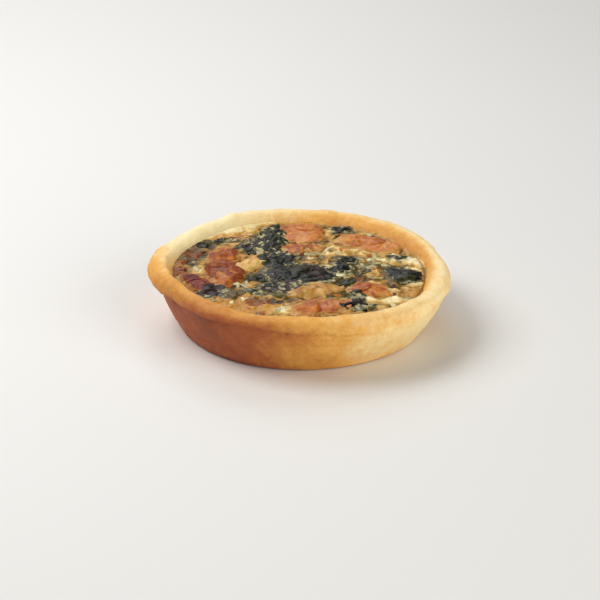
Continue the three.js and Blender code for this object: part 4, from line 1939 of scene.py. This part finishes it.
# A loose fold of crumpled leaf, a wider one that lies smoother, and a flat shard of salmon.
LOOSE_FOLDS = Scrap(
    length=(7, 13), width=(3.5, 7), thickness=0.3, seed=71, bend=0.8, pointed=0.9, ragged=0.4,
    curl=0.12, stiff=0.8, sink=0.2, tilt=0.12, crumple=0.45, lines=34, rows=18,
)
WIDE_FOLDS = replace(
    LOOSE_FOLDS, length=(12, 18), width=(7, 10.5), seed=73, ragged=0.3, sink=0.25, tilt=0.1,
    crumple=0.35,
)
SHARDS = Scrap(
    length=(9, 14), width=(7, 11), thickness=0.7, seed=72, bend=0.2, pointed=0.5, ragged=0.2,
    curl=0.0, stiff=0.95, sink=0.4, tilt=0.35, crumple=0.3, lines=30, rows=20,
)




# ---------------- what is on this quiche

FLAKES = (
    SalmonFlake(
        "flake_back", "salmon_back", 101, browned=0.05, bright=0.52, pink=0.55, growth=(1.1, 1.25),
        shift=(0, -1.2),
    ),
    SalmonFlake(
        "flake_right_back", "salmon_right_back", 102, browned=0.0, bright=0.6, pink=0.45,
        growth=(1.2, 1.1), shift=(-1.5, 0), shards=3,
    ),
    SalmonFlake(
        "flake_left_upper", "salmon_left_upper", 103, browned=0.3, bright=0.32, pink=0.12,
        growth=(0.95, 1.3), shift=(1, -1.2),
    ),
    SalmonFlake(
        "flake_left_lower", "salmon_left_lower", 104, browned=0.28, bright=0.28, pink=0.12,
        coated=0.5, growth=(0.95, 1.3), shift=(0.5, 2.0),
    ),
    SalmonFlake("flake_front", "salmon_front", 105, browned=0.1, bright=0.38, pink=0.45),
    SalmonFlake("flake_right", "salmon_right", 106, browned=0.1, bright=0.52, shift=(-1.2, 0.5)),
    SalmonFlake(
        "flake_browned", "salmon_browned", 107, finish=BROWNED_SALMON, slot=Slot.SALMON_BROWNED,
        browned=0.1, bright=0.45, growth=(1.35, 1.3),
    ),
    SalmonFlake("flake_middle", "salmon_middle", 108, browned=0.3, bright=0.4, shards=2),
    SalmonFlake(
        "flake_pale_left", "salmon_pale_left", 109, finish=PALE_SALMON, slot=Slot.SALMON_PALE,
        browned=0.0, bright=0.68, shift=(1.5, 0.8), shards=2,
    ),
    SalmonFlake(
        "flake_pale_front", "salmon_pale_front", 110, finish=PALE_SALMON, slot=Slot.SALMON_PALE,
        browned=0.1, bright=0.33, growth=(1.25, 1.1), shift=(-1.8, 2.2), shards=3,
    ),
)

CLUMPS = (
    SpinachClump(
        "leaf_back", "spinach_back", 201, folds=6, bright=0.55, flecks=1.1, growth=(1.2, 1.35),
        shift=(0, -1.5), drop=0.5,
    ),
    SpinachClump(
        "leaf_back_left", "spinach_back_left", 202, folds=3, dried=0.75, bright=0.5, flecks=1.0,
        coated=1.0, growth=(0.9, 1.3), drop=0.5,
    ),
    SpinachClump(
        "leaf_centre", "spinach_centre", 203, folds=3, wide=True, flecks=0.6, growth=(1.1, 1.5),
        drop=0.4,
    ),
    SpinachClump(
        "leaf_middle", "spinach_leaf", 204, folds=5, wide=True, dried=0.4, coated=0.5, flecks=0.1,
        growth=(1.25, 1.35), shift=(-2, 0), drop=0.5,
    ),
    SpinachClump("leaf_rim", "spinach_rim", 205, folds=2, drop=0.5),
    SpinachClump(
        "leaf_curl", "spinach_curl", 206, folds=4, bright=0.52, flecks=1.3, coated=1.0,
        growth=(1.15, 1.3), drop=0.6,
    ),
    SpinachClump(
        "leaf_right", "spinach_right", 207, folds=3, wide=True, coated=0.4, flecks=0.1,
        growth=(1.2, 1.5), shift=(0, 1), drop=0.2,
    ),
    SpinachClump(
        "leaf_front_right", "spinach_front_right", 208, folds=3, flecks=0.7, coated=1.0,
        growth=(1.3, 1.3), shift=(-1.5, 1.2), drop=0.7,
    ),
    SpinachClump(
        "leaf_front_left", "spinach_front_left", 209, folds=3, wide=True, dried=0.6, bright=0.25,
        flecks=0.3, coated=0.8, growth=(1.4, 1.35), shift=(0, 1), drop=0.9,
    ),
    SpinachClump(
        "leaf_strand", "spinach_strand", 210, folds=1, flecks=0.7, growth=(0.8, 0.8),
        shift=(3, 1.5), drop=0.6,
    ),
    SpinachClump(
        "leaf_front", "spinach_front", 211, folds=3, wide=True, dried=0.6, bright=0.25,
        flecks=0.25, coated=0.6, growth=(1.5, 1.5), shift=(2.5, 1.5), drop=0.6,
    ),
    SpinachClump(
        "leaf_grey", "spinach_grey", 212, folds=1, bright=0.75, flecks=0.9, coated=1.1, drop=0.7,
    ),
)

# Where the custard's top is green with herb, toasted, golden, curdled, and pale with cream. A
# patch below nothing keeps the colour away.
HERB = (
    Patch(-43, 18, 9, 10, 30, 0.65),
    Patch(-36, 28, 16, 6, 35, 0.6),
    Patch(-7, -6, 16, 10, 0, 0.7),
    Patch(-24, 41, 20, 5, 28, 0.35),
    Patch(12, 18, 10, 4, 0, 0.3),
    Patch(-14, 6, 14, 12, 0, 0.5),
    Patch(-18.5, -8, 20, 8, -15, 0.7),
    Patch(-30, -22, 14, 6, -35, 0.6),
    Patch(-42, 11, 12, 14, 0, 0.5),
    Patch(-12, -24, 12, 6, 0, 0.5),
    Patch(27, 2, 18, 6, 0, 0.95),
    Patch(30, 7, 16, 4, -10, 0.4),
    Patch(1, 15, 16, 5, 0, 0.45),
    Patch(27, -9, 14, 5, 0, 0.4),
    Patch(17, -20, 16, 10, 0, 1.0),
    Patch(-8, -17, 12, 7, 0, 0.8),
    Patch(-41, 16, 10, 8, 0, 0.5),
    Patch(20, -12, 12, 12, 0, 0.9),
    Patch(14, -26, 9, 5, 0, 0.9),
    Patch(37, 1.5, 14, 4, 0, 1.0),
)
TOASTED = (
    Patch(-26, 34, 8, 5, 0, 0.7),
    Patch(-44, 6, 14, 28, 0, 0.25),
    Patch(-38, -13, 20, 8, -50, 0.7),
    Patch(-15, -33, 12, 8, 0, 0.8),
    Patch(28, 2, 12, 6, 0, 0.5),
    Patch(-46, -5, 8, 18, 0, 0.5),
    Patch(-42, 16, 8, 10, 30, 0.4),
    Patch(24, -9, 14, 8, 0, 0.6),
    Patch(40, -21, 9, 6, 0, 0.45),
    Patch(-24, -27, 16, 6, -20, 0.35),
)
GOLD = (
    Patch(-22, -35, 26, 12, -25, 0.9),
    Patch(-8, -38, 22, 10, 0, 0.8),
    Patch(20, 16, 24, 8, 0, 0.3),
    Patch(4, -17, 18, 6, 0, 0.4),
    Patch(-28, 36, 16, 8, 40, 0.4),
    Patch(40, -28, 12, 8, 30, 0.4),
)
CURD = (
    Patch(-22, -16, 7, 5, 0, 0.8),
    Patch(-16, 44, 10, 8, 0, 0.3),
    Patch(13, -2, 8, 12, 0, 0.6),
    Patch(-14, 22, 12, 8, 0, 0.3),
    Patch(7, -13, 20, 4, 0, 0.5),
    Patch(15, -5, 7, 7, 0, 0.7),
    Patch(-6, -40, 8, 4, 0, 0.3),
    Patch(26, 8, 16, 10, 0, 0.3),
)
CREAM = (
    Patch(39, 10, 20, 8, 0, 1.0),
    Patch(31, 11, 16, 6, 0, 0.5),
    Patch(35, 16, 12, 6, 0, 0.9),
    Patch(43, -14, 9, 9, 0, 0.6),
    Patch(46, -1, 8, 22, 0, 1.3),
    Patch(18, 18, 24, 9, 0, 0.7),
    Patch(12, -1, 7, 16, 20, 0.9),
    Patch(-24, 41, 26, 9, 30, 0.3),
    Patch(-39, -2, 6, 6, 0, 1.0),
    Patch(-45, 12, 12, 18, 0, -0.2),
    Patch(-40, 20, 18, 12, 0, -0.5),
    Patch(-28, -26, 20, 10, -30, -0.4),
    Patch(-4, -39, 16, 9, 0, 0.8),
    Patch(31, -24, 12, 12, 0, 1.3),
    Patch(38, -29, 10, 6, 20, 1.0),
    Patch(40, -21, 8, 6, 0, -0.15),
    Patch(31, -30, 14, 8, 20, 0.8),
    Patch(15, -5, 8, 8, 0, 1.1),
    Patch(37, 21, 12, 6, 0, 0.7),
)

SMALL_PIECES = (
    Scatter(
        "leek_strips", STEWED_LEEK, Slot.CUSTARD, count=30,
        scrap=Scrap(
            length=(3.5, 7.5), width=(2.0, 4.2), thickness=0.34, seed=301, bend=0.5, pointed=0.6,
            ragged=0.45, curl=0.25, sink=0.24, level=1.1, lines=20, rows=6,
        ),
        plain=0.03,
        patches=(
            Patch(24, 6, 26, 14, 0, 0.3),
            Patch(0, 15, 20, 8, 0, 0.6),
            Patch(8, -14, 30, 6, 0, 0.15),
            Patch(-26, 34, 20, 10, 30, 0.3),
        ),
        on={Food.SALMON: 0.0, Food.SPINACH: 0.0},
    ),
    Scatter(
        "spinach_shreds", WILTED_SPINACH, Slot.SPINACH, count=45,
        scrap=Scrap(
            length=(3, 8), width=(2.0, 4.6), thickness=0.22, seed=302, bend=0.45, pointed=0.8,
            ragged=0.5, curl=0.25, sink=0.18, level=1.3,
        ),
        plain=0.0,
        patches=(
            Patch(20, -2, 18, 10, 0, 0.3),
            Patch(19, -15, 12, 14, 0, 0.8),
            Patch(-8, -16, 10, 8, 0, 0.8),
            Patch(-18, -10, 26, 12, 0, 0.7),
            Patch(-36, 28, 14, 6, 30, 0.4),
            Patch(-10, 10, 16, 20, 0, 0.8),
        ),
        on={Food.SALMON: 0.0, Food.SPINACH: 0.3},
    ),
    Scatter(
        "custard_curds", CUSTARD_CURD, Slot.CUSTARD, count=90,
        scrap=Scrap(
            length=(1.6, 4.6), width=(1.5, 3.8), thickness=0.36, seed=303, bend=0.7, pointed=1.0,
            ragged=0.75, curl=0.0, stiff=0.2, sink=0.22, level=0.9, rows=9,
        ),
        plain=0.03,
        patches=tuple(replace(patch, strength=1.4 * patch.strength) for patch in CURD),
        on={Food.SALMON: 0.02, Food.SPINACH: 0.0},
    ),
    Scatter(
        "salmon_crumbs", COOKED_SALMON, Slot.SALMON, count=28,
        scrap=Scrap(
            length=(1.5, 4.5), width=(1.1, 2.8), thickness=0.4, seed=304, bend=0.4, pointed=0.9,
            ragged=0.4, curl=0.1, sink=0.2, level=1.0, bright=0.36, lines=10,
        ),
        plain=0.05,
        patches=(
            Patch(-40, -8, 18, 34, 0, 0.4),
            Patch(20, -26, 34, 18, 0, 0.4),
            Patch(-6, 18, 24, 12, 0, 0.4),
        ),
        on={Food.SALMON: 0.3, Food.SPINACH: 0.1},
    ),
)


# ---------------- studio


@dataclass(frozen=True)
class Softbox:
    """A square studio light that looks at the quiche."""

    name: str
    azimuth: float  # degrees round from the front, to the right
    elevation: float  # degrees above the table
    distance: float  # metres from the quiche
    width: float  # metres
    power: float  # watts
    colour: str


@dataclass
class Studio:
    """A pale table, soft lights and the camera."""

    middle: Array  # of the case, in millimetres
    camera_elevation: float = 24  # degrees
    camera_distance: float = 0.9  # metres
    lens: float = 136.35  # millimetres, as the sensor is
    sensor: float = 36
    shift: tuple[float, float] = (-0.0022, 0.0323)  # shares of the sensor's width
    table_width: float = 6  # metres
    table_drop: float = 0.05 * MM  # keeps the table clear of the quiche's underside
    table_colour: str = "e4e2de"
    table_roughness: tuple[float, float] = (0.55, 0.75)
    table_mottle: float = 25 * MM  # from one patch of the table's sheen to the next
    sky_colour: str = "f2f4f6"
    sky_strength: float = 0.18
    softboxes: tuple[Softbox, ...] = (
        Softbox("key_light", -100, 50, 0.9, 0.55, 6.5, "fffefc"),
        Softbox("back_light", 195, 42, 1.0, 0.6, 3, "f6f9ff"),
        Softbox("fill_light", 48, 22, 1.0, 0.8, 7, "fffefa"),
    )

    def _place(self, azimuth: float, elevation: float, distance: float) -> Vector:
        """A place given by its direction and distance from the quiche.

        Args:
            azimuth: degrees round from the front, to the right.
            elevation: degrees above the table.
            distance: metres from the middle of the case's underside.

        Returns:
            The place, in metres.
        """
        turn, rise = math.radians(azimuth), math.radians(elevation)
        away = Vector(
            (math.sin(turn) * math.cos(rise), -math.cos(turn) * math.cos(rise), math.sin(rise))
        )
        return self._aim() + distance * away

    def _aim(self) -> Vector:
        """The middle of the case's underside, in metres."""
        return Vector((*(self.middle * MM), 0))

    def _add(self, name: str, data: Any, place: Vector) -> bpy.types.Object:
        """Adds an object that looks at the quiche.

        Args:
            name: the object's name.
            data: its light or camera.
            place: where it stands.

        Returns:
            The object.
        """
        thing = bpy.data.objects.new(name, data)
        thing.location = place
        thing.rotation_euler = (self._aim() - place).to_track_quat("-Z", "Y").to_euler()
        bpy.context.scene.collection.objects.link(thing)
        return thing

    def build(self) -> None:
        """Builds the table, the lights, the sky and the camera."""
        self._table()
        for box in self.softboxes:
            light = bpy.data.lights.new(box.name, "AREA")
            light.size = box.width
            light.energy = box.power
            light.color = linear(box.colour)[:3]
            self._add(box.name, light, self._place(box.azimuth, box.elevation, box.distance))
        world = bpy.data.worlds.new("studio air")
        world.use_nodes = True
        air = world.node_tree.nodes["Background"]
        air.inputs["Color"].default_value = linear(self.sky_colour)
        air.inputs["Strength"].default_value = self.sky_strength
        bpy.context.scene.world = world
        # Colours are shown as they are, with no film curve over them.
        bpy.context.scene.view_settings.view_transform = "Standard"
        camera = bpy.data.cameras.new("camera")
        camera.lens = self.lens
        camera.sensor_width = self.sensor
        camera.shift_x, camera.shift_y = self.shift
        camera.clip_start = 0.01
        place = self._place(0, self.camera_elevation, self.camera_distance)
        bpy.context.scene.camera = self._add("camera", camera, place)

    def _table(self) -> None:
        """Builds the pale table top."""
        half = self.table_width / 2
        corners = [(-half, -half, 0), (half, -half, 0), (half, half, 0), (-half, half, 0)]
        mesh = bpy.data.meshes.new("table")
        mesh.from_pydata(corners, [], [(0, 1, 2, 3)])
        # Matt laminate, with a very faint unevenness so that its sheen isn't glassy.
        paint = bpy.data.materials.new("matt laminate, pale")
        paint.use_nodes = True
        tree = paint.node_tree
        tree.nodes.clear()
        scale = 1 / self.table_mottle
        noise = add_node(tree, "ShaderNodeTexNoise", {"Scale": scale, "Detail": 4.0})
        low, high = self.table_roughness
        spread = {"To Min": low, "To Max": high}
        rough = add_node(tree, "ShaderNodeMapRange", spread, {"Value": noise.outputs[0]})
        colour = {"Base Color": linear(self.table_colour)}
        links = {"Roughness": rough.outputs[0]}
        shader = add_node(tree, "ShaderNodeBsdfPrincipled", colour, links)
        add_node(tree, "ShaderNodeOutputMaterial", {}, {"Surface": shader.outputs[0]})
        mesh.materials.append(paint)
        table = bpy.data.objects.new("table", mesh)
        table.location = (0, 0, -self.table_drop)
        bpy.context.scene.collection.objects.link(table)


# ---------------- the whole quiche


def main() -> None:
    """Builds the quiche from its case inwards, and then the studio round it."""
    case = PastryCase()
    case.build()
    relief = Relief()
    shapes = {}
    for topping in (*FLAKES, *CLUMPS):
        shapes[topping.name] = topping.shape()
        food = Food.SALMON if isinstance(topping, SalmonFlake) else Food.SPINACH
        relief.lay_down(shapes[topping.name], food)
    custard = Custard(
        case, relief, herb=HERB, toasted=TOASTED, gold=GOLD, curd=CURD, cream=CREAM
    )
    custard.build()
    for flake in FLAKES:
        flake.build(shapes[flake.name], custard, relief)
    for clump in CLUMPS:
        clump.build(shapes[clump.name], custard, relief)
    for scatter in SMALL_PIECES:
        scatter.build(relief, custard)
    Studio(case.middle).build()


if __name__ == "__main__":
    logging.basicConfig(level=logging.INFO, format="%(name)s: %(message)s")
    main()
